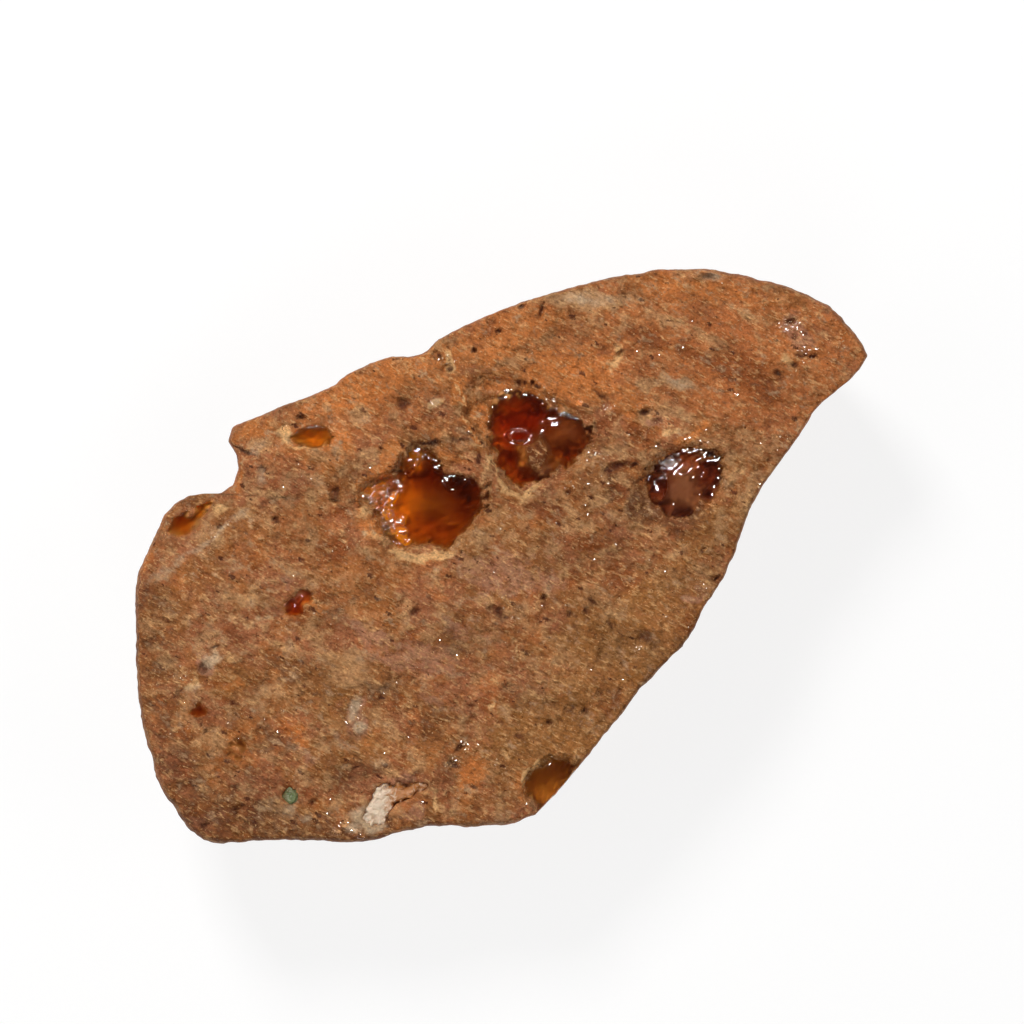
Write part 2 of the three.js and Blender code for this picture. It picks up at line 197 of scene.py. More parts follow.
RUST_PATCHES = (
    (14.8, 11.6, 2.4, 1.2, -28, 0.9), (12.2, 12.4, 1.6, 0.6, -25, 0.75), (16.3, 10.3, 1.5, 0.7, -35, 0.75),
    (-10.5, 0.3, 1.0, 0.9, 0, 0.9), (-10.1, 2.6, 0.7, 0.45, -20, 0.8), (9.0, 13.7, 1.5, 0.7, -15, 0.8),
    (2.6, 2.8, 1.6, 0.35, -5, 0.85), (5.6, 0.9, 2.4, 0.5, -3, 0.8), (7.6, 5.5, 0.8, 0.4, 10, 1.0),
    (7.1, 3.9, 0.9, 0.4, 80, 0.9), (7.6, -1.3, 1.5, 0.7, 10, 0.7), (-6.0, -5.3, 0.55, 0.4, 0, 0.9),
    (17.8, 6.9, 0.8, 0.4, 40, 0.9), (11.6, -4.4, 0.8, 0.5, 45, 0.7), (0.4, -8.8, 0.7, 0.5, -60, 0.8),
    (-12.4, -3.7, 0.8, 0.4, 30, 0.75), (-4.4, 8.6, 1.0, 0.4, -30, 0.75), (8.6, 7.6, 1.2, 0.7, 0, 0.7),
    (6.9, 8.6, 0.5, 1.2, -20, 0.6), (-17.8, -8.1, 0.6, 0.35, 20, 0.8), (-13.7, -10.8, 0.8, 0.4, 10, 0.6),
    (6.6, -9.2, 1.2, 0.7, 45, 0.5), (2.5, -15.0, 0.5, 0.8, 0, 0.5), (-0.7, 14.2, 0.8, 0.35, 20, 0.6),
    (11.3, 4.1, 1.4, 1.1, 35, 0.7), (20.4, 13.2, 2.2, 1.4, -30, 0.35), (2.3, 6.1, 1.3, 1.1, 0, 0.9),
)
LILAC_PATCHES = (
    (-8.2, -4.9, 1.6, 0.5, -35, 0.8), (-6.8, -6.6, 1.2, 0.5, -30, 0.8), (-4.6, -6.3, 2.2, 1.1, -10, 0.7),
    (-18.4, -6.8, 0.7, 0.5, 60, 1.0), (-9.0, -10.1, 1.5, 0.5, 75, 0.9), (0.5, -1.2, 3.2, 1.3, -5, 0.65),
    (18.3, 14.0, 1.2, 0.8, -50, 0.9), (-6.0, -14.0, 1.0, 0.35, 10, 0.9), (-5.5, -16.0, 1.2, 0.4, 20, 0.8),
    (9.7, 8.4, 0.5, 0.35, 20, 0.9), (-13.4, -1.5, 0.6, 0.3, -10, 0.7), (-2.6, -4.6, 1.8, 0.5, -20, 0.6),
    (3.0, -1.8, 1.4, 0.4, -10, 0.6), (-4.4, -9.0, 0.7, 0.4, -40, 0.7), (-18.5, -16.6, 2.0, 0.6, 5, 0.7),
    (-12.6, -12.4, 0.8, 0.3, -40, 0.8), (12.0, -2.6, 0.6, 0.5, 30, 0.7), (11.3, 4.1, 1.5, 1.2, 35, 0.4),
)
# Dark grains, holes and cracks, one of them also painted shadow. The last value is also the share of the
# hole that is cut into the rock.
DARK_SPOTS = (
    (-10.4, 3.8, 0.32, 0.42, 0, 0.8), (-14.1, 2.3, 0.2, 0.18, 0, 1.0), (-15.0, 5.4, 0.18, 0.2, 0, 1.0),
    (12.9, 17.35, 0.5, 0.2, -15, 1.0), (7.35, 12.6, 0.2, 0.17, 0, 1.0), (8.9, 8.95, 0.25, 0.18, 0, 1.0),
    (9.7, 8.4, 0.3, 0.2, 20, 0.7), (-4.1, 12.6, 0.2, 0.18, 0, 1.0), (-3.4, 11.8, 0.24, 0.2, 0, 1.0),
    (-1.7, 12.8, 0.16, 0.16, 0, 1.0), (-6.2, 9.5, 0.3, 0.36, 0, 0.8), (-0.2, 14.0, 0.22, 0.14, 0, 0.9),
    (1.3, 15.6, 0.25, 0.14, 30, 0.8), (2.5, 15.3, 0.55, 0.1, 80, 0.9), (-0.4, -3.5, 0.55, 0.28, -25, 0.8),
    (0.3, -3.8, 0.3, 0.12, -10, 0.8), (2.6, -2.7, 0.24, 0.16, 0, 1.0), (4.2, -3.6, 0.22, 0.11, 0, 1.0),
    (5.4, -3.4, 0.3, 0.28, 0, 0.8), (5.7, -2.9, 0.42, 0.12, -32, 0.9), (6.9, -4.2, 0.36, 0.14, -60, 0.7),
    (8.9, -5.0, 0.5, 0.36, 30, 0.7), (13.4, -1.4, 0.28, 0.12, 35, 0.9), (12.6, 0.4, 0.18, 0.16, 0, 0.8),
    (-2.0, -9.4, 0.24, 0.2, 0, 0.8), (3.0, -10.4, 0.22, 0.18, 0, 0.9), (1.1, -11.1, 0.3, 0.2, -20, 0.8),
    (4.2, -9.6, 0.34, 0.3, 40, 0.6), (5.1, -9.7, 0.2, 0.14, 60, 0.8), (6.1, -8.6, 0.26, 0.2, 0, 0.7),
    (-2.6, -12.0, 0.35, 0.12, 30, 1.0), (-3.0, -12.9, 0.42, 0.2, -35, 1.0),
    (-18.4, -16.8, 0.26, 0.2, 0, 0.9), (-16.5, -15.9, 0.22, 0.12, -40, 0.8),
    (-11.7, -15.4, 0.3, 0.26, 0, 0.7), (-9.0, -13.2, 0.26, 0.1, 10, 0.9), (-5.3, -3.5, 0.26, 0.2, -40, 0.8),
    (-16.7, -14.4, 0.3, 0.15, 0, 0.7), (-18.6, -7.0, 0.32, 0.26, 60, 0.9),
    (-17.9, -5.7, 0.35, 0.12, 30, 0.8), (-18.7, -10.6, 0.65, 0.06, -58, 1.0),
    (-20.2, -8.5, 0.55, 0.05, 62, 0.8), (-16.7, -9.2, 0.5, 0.06, -25, 0.9),
    (-15.9, 6.45, 0.95, 0.07, -25, 1.0), (0.5, -8.2, 0.55, 0.06, -32, 0.8),
    (1.05, 10.75, 0.14, 0.2, 0, 1.0), (1.4, 10.75, 0.1, 0.18, 0, 1.0), (1.95, 10.7, 0.16, 0.2, 0, 1.0),
    (2.3, 10.5, 0.16, 0.12, 0, 1.0), (7.4, 5.6, 0.45, 0.22, -5, 0.9), (8.2, 5.6, 0.25, 0.18, 40, 0.9),
    (18.0, 14.6, 0.3, 0.22, 0, 0.9), (18.3, 13.7, 0.28, 0.22, 30, 0.9), (18.7, 12.55, 0.3, 0.15, -20, 1.0),
    (19.4, 12.4, 0.26, 0.16, 0, 1.0), (18.2, 11.9, 0.2, 0.18, 0, 1.0), (17.2, 11.35, 0.3, 0.14, -30, 0.8),
    (19.0, 13.9, 0.4, 0.12, -50, 0.7), (2.55, 5.3, 0.24, 0.2, 0, 0.7), (-12.5, 8.6, 0.3, 0.1, 0, 0.9),
    (4.2, 4.0, 0.26, 0.2, 30, 0.9), (6.2, 10.0, 0.5, 0.12, -50, 0.8), (9.9, 6.95, 0.22, 0.2, 0, 0.8),
    # The first mark of this row, along the top of the amber's shelf, is a crack that also holds painted
    # shadow under the shelf's overhang.
    (-4.35, 7.02, 0.7, 0.12, 5, 1.0), (-1.5, 6.1, 0.55, 0.1, -65, 0.9), (-2.6, 7.22, 0.6, 0.07, -12, 0.7),
)
DARK_DEPTH = 0.32
# Broad changes of the groundmass: redder towards the upper right, ochre at the lower right. The umber
# regions darken the rock in broad patches. The first four, along the low and left edges, are painted shade
# where the face bends away from the light. The two over the amber's shelf, at (-4.2, 7.6) and (-4.6, 6.9),
# are painted shadow under its overhang.
RED_REGIONS = (
    (14.0, 12.5, 10.0, 5.0, -15, 0.75), (6.0, 12.5, 6.0, 3.5, 10, 0.6), (-9.0, 9.0, 8.0, 2.5, 25, 0.55),
    (-12.0, 1.0, 3.5, 3.0, 20, 0.4),
)
OCHRE_REGIONS = (
    (8.0, -6.0, 7.0, 4.5, 45, 0.8), (3.0, -11.0, 5.0, 3.0, 20, 0.8), (-10.5, -9.0, 3.5, 1.8, -35, 0.6),
    (-16.8, -8.0, 1.6, 1.0, 10, 0.8), (-3.0, 2.0, 5.0, 1.5, 10, 0.5), (13.5, 1.5, 2.5, 4.0, -20, 0.5),
    (-8.5, -12.0, 2.0, 1.2, 30, 0.6),
)
UMBER_AND_SHADE_REGIONS = (
    (-17.0, -16.8, 5.0, 2.2, -5, 0.65), (-9.0, -17.6, 9.0, 1.2, 4, 0.6), (-22.0, -6.0, 1.6, 8.5, 3, 0.4),
    (-20.2, -13.0, 1.7, 4.0, 20, 0.55), (-12.6, -7.6, 2.6, 1.2, -25, 0.5),
    (-15.0, -11.5, 2.4, 1.0, -20, 0.5), (-4.5, -10.5, 2.0, 1.0, -30, 0.5), (-7.5, -8.3, 1.4, 0.7, -30, 0.5),
    (10.0, -7.5, 5.0, 0.8, 50, 0.5), (-3.0, -5.6, 2.4, 1.0, -15, 0.4), (-14.3, 3.3, 1.6, 0.7, 20, 0.3),
    (14.2, 11.0, 2.6, 1.0, -28, 0.25), (-4.2, 7.6, 1.4, 0.5, 5, 0.3), (6.9, 4.6, 0.8, 1.2, 0, 0.5),
    (11.3, 4.0, 1.8, 1.5, 35, 1.0), (2.3, 6.0, 1.4, 1.2, 0, 0.8), (9.3, 3.0, 0.9, 0.6, -45, 0.6),
    (-20.2, 2.8, 1.6, 0.8, 40, 0.5), (-9.0, -13.4, 2.4, 0.6, 10, 0.5), (-15.6, -13.4, 1.8, 0.6, -20, 0.4),
    (-10.9, -3.6, 1.2, 0.5, -30, 0.35), (8.5, 3.4, 0.7, 1.6, 10, 0.7), (10.6, 1.8, 1.8, 0.5, 0, 0.6),
    (-4.6, 6.9, 1.2, 0.3, 0, 0.6),
)
# Fine crests on the broken skins, which catch the light: x, y, half length, half width, angle, height.
CRESTS = (
    (-7.3, 2.9, 0.40, 0.14, -60, 0.11), (-6.9, 2.4, 0.35, 0.13, -50, 0.11),
    (-6.8, 3.6, 0.45, 0.14, 60, 0.11), (-6.8, 1.7, 0.30, 0.12, -70, 0.10),
    (-6.3, 1.1, 0.30, 0.12, -40, 0.10), (-5.9, 0.9, 0.25, 0.12, 30, 0.10),
    (-6.2, 2.1, 0.35, 0.13, 80, 0.10), (-4.3, 5.8, 0.40, 0.13, -40, 0.10),
    (-4.0, 5.4, 0.45, 0.13, -25, 0.10), (-2.7, 5.0, 0.35, 0.12, -30, 0.09),
    (-5.4, 6.3, 0.35, 0.13, -20, 0.10), (-5.2, 5.9, 0.45, 0.13, 70, 0.10),
    (-3.4, 4.3, 0.50, 0.12, -55, 0.08), (-7.6, 4.2, 0.35, 0.13, 10, 0.10),
    (-6.2, 1.5, 0.35, 0.13, 10, 0.10), (-7.0, 2.0, 0.30, 0.12, 20, 0.10), (-5.7, 5.2, 0.35, 0.12, 50, 0.09),
    (-4.6, 6.1, 0.25, 0.12, -60, 0.10), (2.75, 8.2, 0.45, 0.13, 5, 0.08), (3.5, 8.0, 0.40, 0.12, -30, 0.07),
    (4.4, 7.6, 0.30, 0.12, -40, 0.07), (11.75, 5.35, 0.60, 0.14, 35, 0.12),
    (12.2, 6.0, 0.45, 0.13, 30, 0.11), (11.1, 5.0, 0.45, 0.13, 30, 0.10), (12.6, 5.1, 0.45, 0.13, 50, 0.08),
    (10.9, 6.6, 0.40, 0.13, 15, 0.08), (10.1, 5.4, 0.20, 0.13, 60, 0.08),
    (-12.6, -2.7, 0.30, 0.12, 50, 0.08), (-12.9, -3.3, 0.25, 0.11, -60, 0.08),
    (-18.7, 2.7, 0.30, 0.12, 40, 0.08),
)

# Small lamps for the glints: turn round the view and rise over the face in degrees, all at one distance.
SPARKS = ((105, 60), (165, 42), (40, 48), (75, 44))
SPARK_DISTANCE = 280
SPARK_SIZE = 40
# Flat facets on the skins, each turned so that it throws the light of one small lamp to the camera: x, y,
# half length, half width, angle, lamp.
FACETS = {
    "amber_opal": (
        (-7.4, 2.85, 0.24, 0.12, -60, 1), (-6.85, 2.2, 0.26, 0.12, 70, 1), (-6.3, 1.5, 0.20, 0.14, -50, 1),
        (-6.9, 3.6, 0.22, 0.12, 30, 0), (-4.1, 5.5, 0.28, 0.11, -30, 0), (-3.5, 4.8, 0.30, 0.10, -50, 0),
        (-2.8, 5.0, 0.16, 0.11, 0, 3), (-5.7, 6.0, 0.20, 0.13, 20, 0), (-6.2, 2.0, 0.14, 0.10, 20, 1),
    ),
    "red_opal": (
        (2.5, 7.75, 0.40, 0.10, 55, 1), (3.3, 8.15, 0.45, 0.10, 10, 0), (3.1, 8.55, 0.40, 0.10, 5, 3),
        (0.6, 7.65, 0.30, 0.10, 35, 1), (0.6, 7.05, 0.30, 0.09, -20, 0), (1.65, 7.2, 0.24, 0.10, 100, 1),
    ),
    "plum_opal": (
        (9.65, 4.2, 0.36, 0.13, 105, 1), (11.75, 5.4, 0.34, 0.10, 42, 0), (11.1, 5.1, 0.14, 0.11, 0, 1),
        (10.6, 5.95, 0.12, 0.10, 90, 1), (12.25, 6.0, 0.18, 0.10, 20, 0), (13.5, 6.0, 0.09, 0.09, 0, 2),
        (13.55, 5.4, 0.10, 0.10, 0, 2), (13.5, 4.85, 0.12, 0.11, 0, 2), (13.2, 4.3, 0.16, 0.11, 80, 2),
        (13.1, 3.8, 0.16, 0.11, 80, 2), (12.3, 3.8, 0.14, 0.10, 60, 1), (10.7, 3.2, 0.12, 0.10, 0, 0),
        (11.95, 4.9, 0.12, 0.10, 0, 0), (11.7, 6.45, 0.18, 0.10, 15, 0),
    ),
    "honey_opal": ((-13.2, 7.75, 0.22, 0.16, 30, 1),),
    "red_bead_opal": ((-12.95, -2.6, 0.14, 0.10, 40, 1),),
}

# Pieces of rock that stand up inside a pocket, through the opal or close under its skin: nodule, x, y, half
# length, half width, angle, rise over the skin.
ISLANDS = (
    ("red_opal", 2.25, 6.2, 1.3, 1.1, -20, 0.06), ("plum_opal", 11.3, 4.0, 1.35, 1.15, 35, -0.24),
    ("plum_opal", 9.2, 2.8, 0.9, 0.6, -45, 0.08), ("plum_opal", 12.9, 2.9, 0.7, 0.6, 0, 0.06),
    ("red_bead_opal", -13.1, -2.3, 0.5, 0.35, 0, 0.12), ("red_bead_opal", -12.0, -3.2, 0.5, 0.4, 20, 0.12),
    ("shoulder_opal", -19.4, 2.6, 0.45, 0.3, 40, 0.06), ("shoulder_opal", -20.7, 1.1, 0.5, 0.4, 40, 0.06),
    ("milky_opal", -6.4, -16.2, 0.6, 0.4, 40, 0.1),
    ("red_chip_opal", -19.3, -9.3, 0.5, 0.35, 30, 0.1),
    ("brown_bead_opal", -16.5, -12.2, 0.45, 0.3, -40, 0.1),
)
# Bright and dark places on the pocket floors, which the clear opal shows as glow and smoke, and clouds of
# haze. The floor comes up towards the skin where it glows, and closer under it where there is haze. The
# bright beds of the glow are partly painted light, standing for light gathered inside the opal.
GLOW_DEPTH = 1.5
HAZE_DEPTH = 0.35
GOLD_DEPTH = 0.7
FLOOR_HAZE = (
    (3.7, 7.6, 2.0, 1.1, 15, 0.85), (2.6, 5.4, 0.9, 0.6, 0, 0.6), (-4.2, 3.2, 1.5, 1.1, 0, 0.65),
    (11.4, 4.2, 1.9, 1.5, 35, 0.6), (1.7, 8.2, 0.9, 0.6, 20, 0.3),
)
FLOOR_GLOW = (
    (-6.7, 3.2, 1.7, 2.2, 15, 0.5), (-5.4, 6.0, 0.9, 0.9, 0, 0.6), (-8.2, 3.8, 1.1, 0.9, 0, 0.9),
    (-4.3, 1.6, 1.7, 0.9, 0, 0.15), (0.5, 9.6, 1.0, 0.9, 0, 0.5), (0.0, 7.2, 0.7, 2.0, 10, 0.3),
    (0.6, 5.2, 0.9, 0.9, 20, 0.35), (-11.8, 7.4, 1.6, 0.8, 0, 0.4), (3.1, -14.2, 1.7, 1.7, 0, 0.4),
    (-19.7, 2.1, 1.5, 0.7, 30, 0.45), (-12.5, -2.6, 0.6, 0.5, 0, 0.5), (-18.6, 2.9, 0.9, 0.6, 40, 0.7),
    (12.0, 5.9, 1.1, 0.6, 30, 0.4),
)
# Gold: painted gold glints, bright places so close under the skin that they keep their yellow.
PAINTED_GOLD_GLINTS = (
    (-6.8, 3.4, 0.50, 0.22, 60, 0.9), (-7.2, 2.6, 0.40, 0.20, -60, 0.8), (-6.3, 1.25, 0.60, 0.26, -55, 1.0),
    (-5.6, 6.3, 0.60, 0.40, 10, 0.8), (-8.1, 4.0, 0.60, 0.35, 10, 0.7), (-6.1, 2.2, 0.30, 0.18, 80, 0.6),
    (-7.4, 4.3, 0.45, 0.22, 10, 0.6), (-5.2, 5.5, 0.30, 0.50, 0, 0.5),
)
FLOOR_SMOKE = (
    (-3.2, 4.2, 1.6, 1.1, -20, 0.9), (-2.3, 3.2, 0.9, 1.2, 0, 0.9), (4.2, 7.4, 1.8, 1.3, 10, 0.8),
    (2.4, 5.2, 0.8, 0.6, 0, 0.8), (9.8, 4.2, 1.0, 1.4, 0, 0.95), (13.0, 4.8, 1.0, 1.7, 0, 0.8),
    (11.0, 2.7, 1.6, 0.6, 0, 0.95), (-4.4, 1.2, 1.6, 0.5, 0, 0.3),
)

# Lens-shaped chips of clear opal at the lower edge and by two nodules: x, y, half length, half width,
# angle.
EDGE_CHIPS = (
    (-10.2, -17.05, 0.28, 0.4, 10), (-9.7, -16.75, 0.4, 0.24, -30), (-9.15, -17.2, 0.42, 0.3, -20),
    (-8.8, -17.45, 0.3, 0.2, 0), (4.85, 9.5, 0.22, 0.2, 0), (-13.45, 8.0, 0.3, 0.16, 30),
)
CHIP_STEPS = 48
CHIP_CELLS = 12
CHIP_RISE = 0.5
CHIP_SINK = 0.6
# Clusters of quartz grains: x, y, half width of the cluster, number of grains.
QUARTZ_CLUSTERS = (
    (18.1, 14.2, 0.7, 46), (18.9, 12.6, 0.55, 22), (21.2, 13.2, 0.3, 8), (-3.0, -12.8, 0.4, 26),
    (-2.3, -11.9, 0.35, 12), (8.5, -5.8, 0.25, 14), (0.6, -3.9, 0.12, 4), (14.6, 10.0, 0.12, 4),
    (16.0, 4.4, 0.14, 5), (2.8, 9.8, 0.4, 14), (6.6, 9.2, 0.5, 14), (-17.1, 2.0, 0.15, 5),
    (-18.1, 1.0, 0.3, 8), (-4.3, 9.5, 0.3, 10), (-3.4, 12.1, 0.4, 12), (-9.0, -10.0, 0.7, 18),
    (5.6, 6.4, 0.5, 18), (12.2, 7.0, 0.7, 12), (4.2, 4.2, 0.3, 10), (12.4, -2.1, 0.5, 12),
)
# Grains: the seed of their draws, the share of the reach to the outline that they keep inside, the share of
# a nodule's reach that they keep outside, how many are tried in a square of this half width, the range of
# their size, the range of their stretch along each axis, and the spread of the facets about the direction
# in which they would catch a small lamp, as a share of 1.
GRAIN_SEED = 71
GRAIN_LIMIT = 0.97
GRAIN_CLEARANCE = 1.06
GRAIN_COUNT = 3200
GRAIN_FIELD = 26
GRAIN_SIZES = (0.03, 0.07)
GRAIN_STRETCH = (0.7, 1.4)
GRAIN_TILT = 0.06

# Stage: the floor's half width, the height that the lamps face, the soft lamps' sizes and their places from
# the view's centre, and the camera's film. The view's width holds at the stone's upper edge, this far below
# its top.
FLOOR_HALF = 1500.0
LAMP_TARGET = 10
LAMP_WHITE = (1.0, 0.99, 0.975)
KEY_SIZE = 70
KEY_PLACE = (-90, 180, 235)
FILL_SIZE = 200
FILLS = {"left_fill": (-260, -20, 235), "right_fill": (260, -20, 235), "low_fill": (0, -260, 235)}
SENSOR_WIDTH = 36
EDGE_DROP = 1


def smooth_step(low, high, value):
    """0 at low, 1 at high, and a smooth cubic between them."""
    share = np.clip((value - low) / (high - low), 0, 1)
    return share * share * (3 - 2 * share)


def flat(points):
    """Points of the plan with a third coordinate of 0, for the noise functions."""
    return np.column_stack([points[:, 0], points[:, 1], np.zeros(len(points))])


def turned(points, centre, angle):
    """Plan points measured along and across a direction through a centre."""
    cosine = math.cos(math.radians(angle))
    sine = math.sin(math.radians(angle))
    x = points[:, 0] - centre[0]
    y = points[:, 1] - centre[1]
    return x * cosine + y * sine, y * cosine - x * sine


def unit(vectors):
    """Vectors made 1 long."""
    return vectors / np.linalg.norm(vectors, axis=1, keepdims=True)


def axes_along(direction, rng):
    """Three axes at right angles for each direction: the first along it, the others at a random turn about
    it."""
    side = unit(np.cross(direction, rng.normal(size=direction.shape)))
    return np.stack([direction, side, np.cross(direction, side)], axis=-1)


def spark_places(stage):
    """Places of the small lamps in millimetres, each at a turn round the view's centre and a rise over the
    face."""
    turn, rise = np.radians(SPARKS).T
    away = np.column_stack([np.cos(rise) * np.cos(turn), np.cos(rise) * np.sin(turn), np.sin(rise)])
    return np.append(np.array(stage.view_centre) / MM, 0) + SPARK_DISTANCE * away


def eye_place(stage):
    """Place of the camera in millimetres: over the view's centre, as far from the stone's upper edge as its
    lens needs for the view."""
    distance = stage.view_width / MM * stage.lens / SENSOR_WIDTH
    return np.append(np.array(stage.view_centre) / MM, STONE_TOP - EDGE_DROP + distance)


def lattice_index(corners, size):
    """A repeatable pick from a table for each corner of a lattice: its whole coordinates, each times a
    large prime, mixed by exclusive or."""
    whole = corners.astype(np.int64)
    return (whole[:, 0] * 73856093 ^ whole[:, 1] * 19349663 ^ whole[:, 2] * 83492791) % size


def lattice_noise(points, cell, seed):
    """Noise from about -1 to 1: a random slope at each corner of a lattice of cells, the height of each
    slope at the point, and a smooth blend of the eight heights."""
    slopes = np.random.default_rng(seed).normal(size=(1024, 3))
    slopes /= np.linalg.norm(slopes, axis=1, keepdims=True)
    scaled = points / cell
    base = np.floor(scaled)
    local = scaled - base
    fade = local**3 * (local * (local * 6 - 15) + 10)
    total = np.zeros(len(points))
    for corner in np.ndindex(2, 2, 2):
        slope = slopes[lattice_index(base + corner, len(slopes))]
        weight = np.prod(np.where(corner, fade, 1 - fade), axis=1)
        total += weight * np.sum(slope * (local - corner), axis=1)
    return total * 1.6


def rough_noise(points, cell, octaves, seed):
    """Noise in octaves: each has half the cell and half the height of the one before."""
    parts = [lattice_noise(points, cell / 2**n, seed + n) / 2**n for n in range(octaves)]
    return np.sum(parts, axis=0)


def cell_pattern(points, cell, seed):
    """Distance in cells to the nearest and to the next seed of a jittered lattice, and a random number that
    is the same all over the nearest seed's cell."""
    draws = np.random.default_rng(seed).random((1024, 4))
    scaled = points / cell
    base = np.floor(scaled)
    near = np.full(len(points), 9.0)
    following = near.copy()
    number = np.zeros(len(points))
    for corner in np.ndindex(3, 3, 3):
        at = base + corner - 1
        draw = draws[lattice_index(at, len(draws))]
        gap = np.linalg.norm(at + draw[:, :3] - scaled, axis=1)
        closer = gap < near
        following = np.where(closer, near, np.minimum(following, gap))
        number = np.where(closer, draw[:, 3], number)
        near = np.minimum(near, gap)
    return near, following, number


def node_triangles(name):
    """A CAD node's triangles in millimetres: triangle, corner, coordinate."""
    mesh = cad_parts[name].data
    mesh.calc_loop_triangles()
    points = np.empty(len(mesh.vertices) * 3)
    mesh.vertices.foreach_get("co", points)
    corners = np.empty(len(mesh.loop_triangles) * 3, dtype=np.int32)
    mesh.loop_triangles.foreach_get("vertices", corners)
    return points.reshape(-1, 3)[corners].reshape(-1, 3, 3) / MM


def section(triangles, height):
    """Plan points where the edges of triangles cross a level."""
    start = triangles.reshape(-1, 3)
    end = np.roll(triangles, -1, axis=1).reshape(-1, 3)
    crossing = (start[:, 2] - height) * (end[:, 2] - height) < 0
    start = start[crossing]
    end = end[crossing]
    share = (height - start[:, 2]) / (end[:, 2] - start[:, 2])
    return (start + share[:, None] * (end - start))[:, :2]


class Rim:
    """A closed outline round a centre that sees all of it: the reach from the centre in each direction."""

    def __init__(self, points, centre):
        points = np.asarray(points, dtype=float)
        self.centre = np.asarray(centre, dtype=float)
        away = points - self.centre
        angle = np.arctan2(away[:, 1], away[:, 0])
        order = np.unique(np.round(angle, 5), return_index=True)[1]
        self.angle = angle[order]
        self.reach = np.linalg.norm(away[order], axis=1)

    def share(self, points):
        """Distance from the centre as a share of the reach to the outline."""
        away = points - self.centre
        angle = np.arctan2(away[:, 1], away[:, 0])
        reach = np.interp(angle, self.angle, self.reach, period=2 * math.pi)
        return np.linalg.norm(away, axis=1) / reach

    def spaced(self, count):
        """Points at equal steps along the outline, anticlockwise from the lower right, the first one
        repeated."""
        start = np.searchsorted(self.angle, -math.pi / 4)
        angle = np.roll(self.angle, -start)
        reach = np.roll(self.reach, -start)
        loop = self.centre + reach[:, None] * np.column_stack([np.cos(angle), np.sin(angle)])
        loop = np.vstack([loop, loop[:1]])
        along = np.append(0, np.cumsum(np.linalg.norm(np.diff(loop, axis=0), axis=1)))
        at = np.linspace(0, along[-1], count + 1)
        return np.column_stack([np.interp(at, along, loop[:, axis]) for axis in (0, 1)])


class Nodule:
    """A nodule as measured from its CAD node: its rim and axis, and the levels of its rim, foot and top."""

    def __init__(self, name):
        triangles = node_triangles(name)
        points = triangles.reshape(-1, 3)
        foot = points[points[:, 2].argmin()]
        reach = np.linalg.norm(points[:, :2] - foot[:2], axis=1)
        self.name = name
        self.level = points[reach.argmax(), 2]
        self.foot = foot[2]
        self.top = points[:, 2].max()
        self.rim = Rim(section(triangles, self.level - 0.02), foot[:2])
        self.reach = self.rim.reach.mean()
        self.large = self.reach > LARGE_REACH
        self.crests = [row for row in CRESTS if self.rim.share(np.array([row[:2]]))[0] < 1.2]


class StoneShape:
    """The stone before anything was broken out of it, as measured from its CAD node: its outline, which is
    that of its waist below all the pockets, drawn out to its widest level, the height of its face and the
    lean of its walls."""

    def __init__(self):
        self.triangles = node_triangles(STONE)
        points = self.triangles.reshape(-1, 3)
        reach = np.linalg.norm(points[:, :2] - STONE_MIDDLE, axis=1)
        self.top = points[:, 2].max()
        self.level = points[reach.argmax(), 2]
        waist = Rim(section(self.triangles, self.top / 2 - 0.02), STONE_MIDDLE)
        waist.reach *= reach.max() / waist.reach.max()
        loop = waist.spaced(RIM_STEPS)[:-1]
        self.rim = Rim(loop, STONE_MIDDLE)
        worn = self.rim.centre + self.rim.reach[:, None] * np.column_stack(
            [np.cos(self.rim.angle), np.sin(self.rim.angle)]
        )
        self.rim.reach -= RIM_WEAR * np.abs(rough_noise(flat(worn), 1.9, 4, 17))

    def edge_height(self, share):
        """Height of the face at a share of the reach: a low crown, then a rounded edge, sharper than a
        circle, down to the widest level."""
        flat_share = 1 - EDGE_SHARE
        crown = FACE_CROWN * np.minimum(share / flat_share, 1) ** 2
        over = np.clip((share - flat_share) / EDGE_SHARE, 0, 1)
        drop = (self.top - FACE_CROWN - self.level) * (1 - (1 - over**EDGE_POWER) ** (1 / EDGE_POWER))
        return self.top - crown - drop

    def wall_share(self, height):
        """Share of the reach that the walls have kept at a lower level: the largest round the section."""
        return self.rim.share(section(self.triangles, height)).max()


def patches(points, marks, fray, soft=0.35):
    """Strength of a set of elliptic patches at plan points: 1 well inside an ellipse and 0 outside, with
    the distance shifted by fray so that the borders are ragged. Soft is the half width of a border as a
    share."""
    strength = np.zeros(len(points))
    for x, y, length, width, angle, amount in marks:
        along, across = turned(points, (x, y), angle)
        away = np.hypot(along / length, across / width) + fray
        strength = np.maximum(strength, amount * smooth_step(1.0 + soft, 1.0 - soft, away))
    return strength


def shoulder_slope(points):
    """How far the unground skin at the left shoulder falls away: rising with the distance beyond a line
    along the pale vein."""
    across = turned(points, (-19.8, -0.2), 40)[1]
    return 0.32 * np.maximum(across - 0.2, 0) * smooth_step(-13.0, -16.5, points[:, 0])


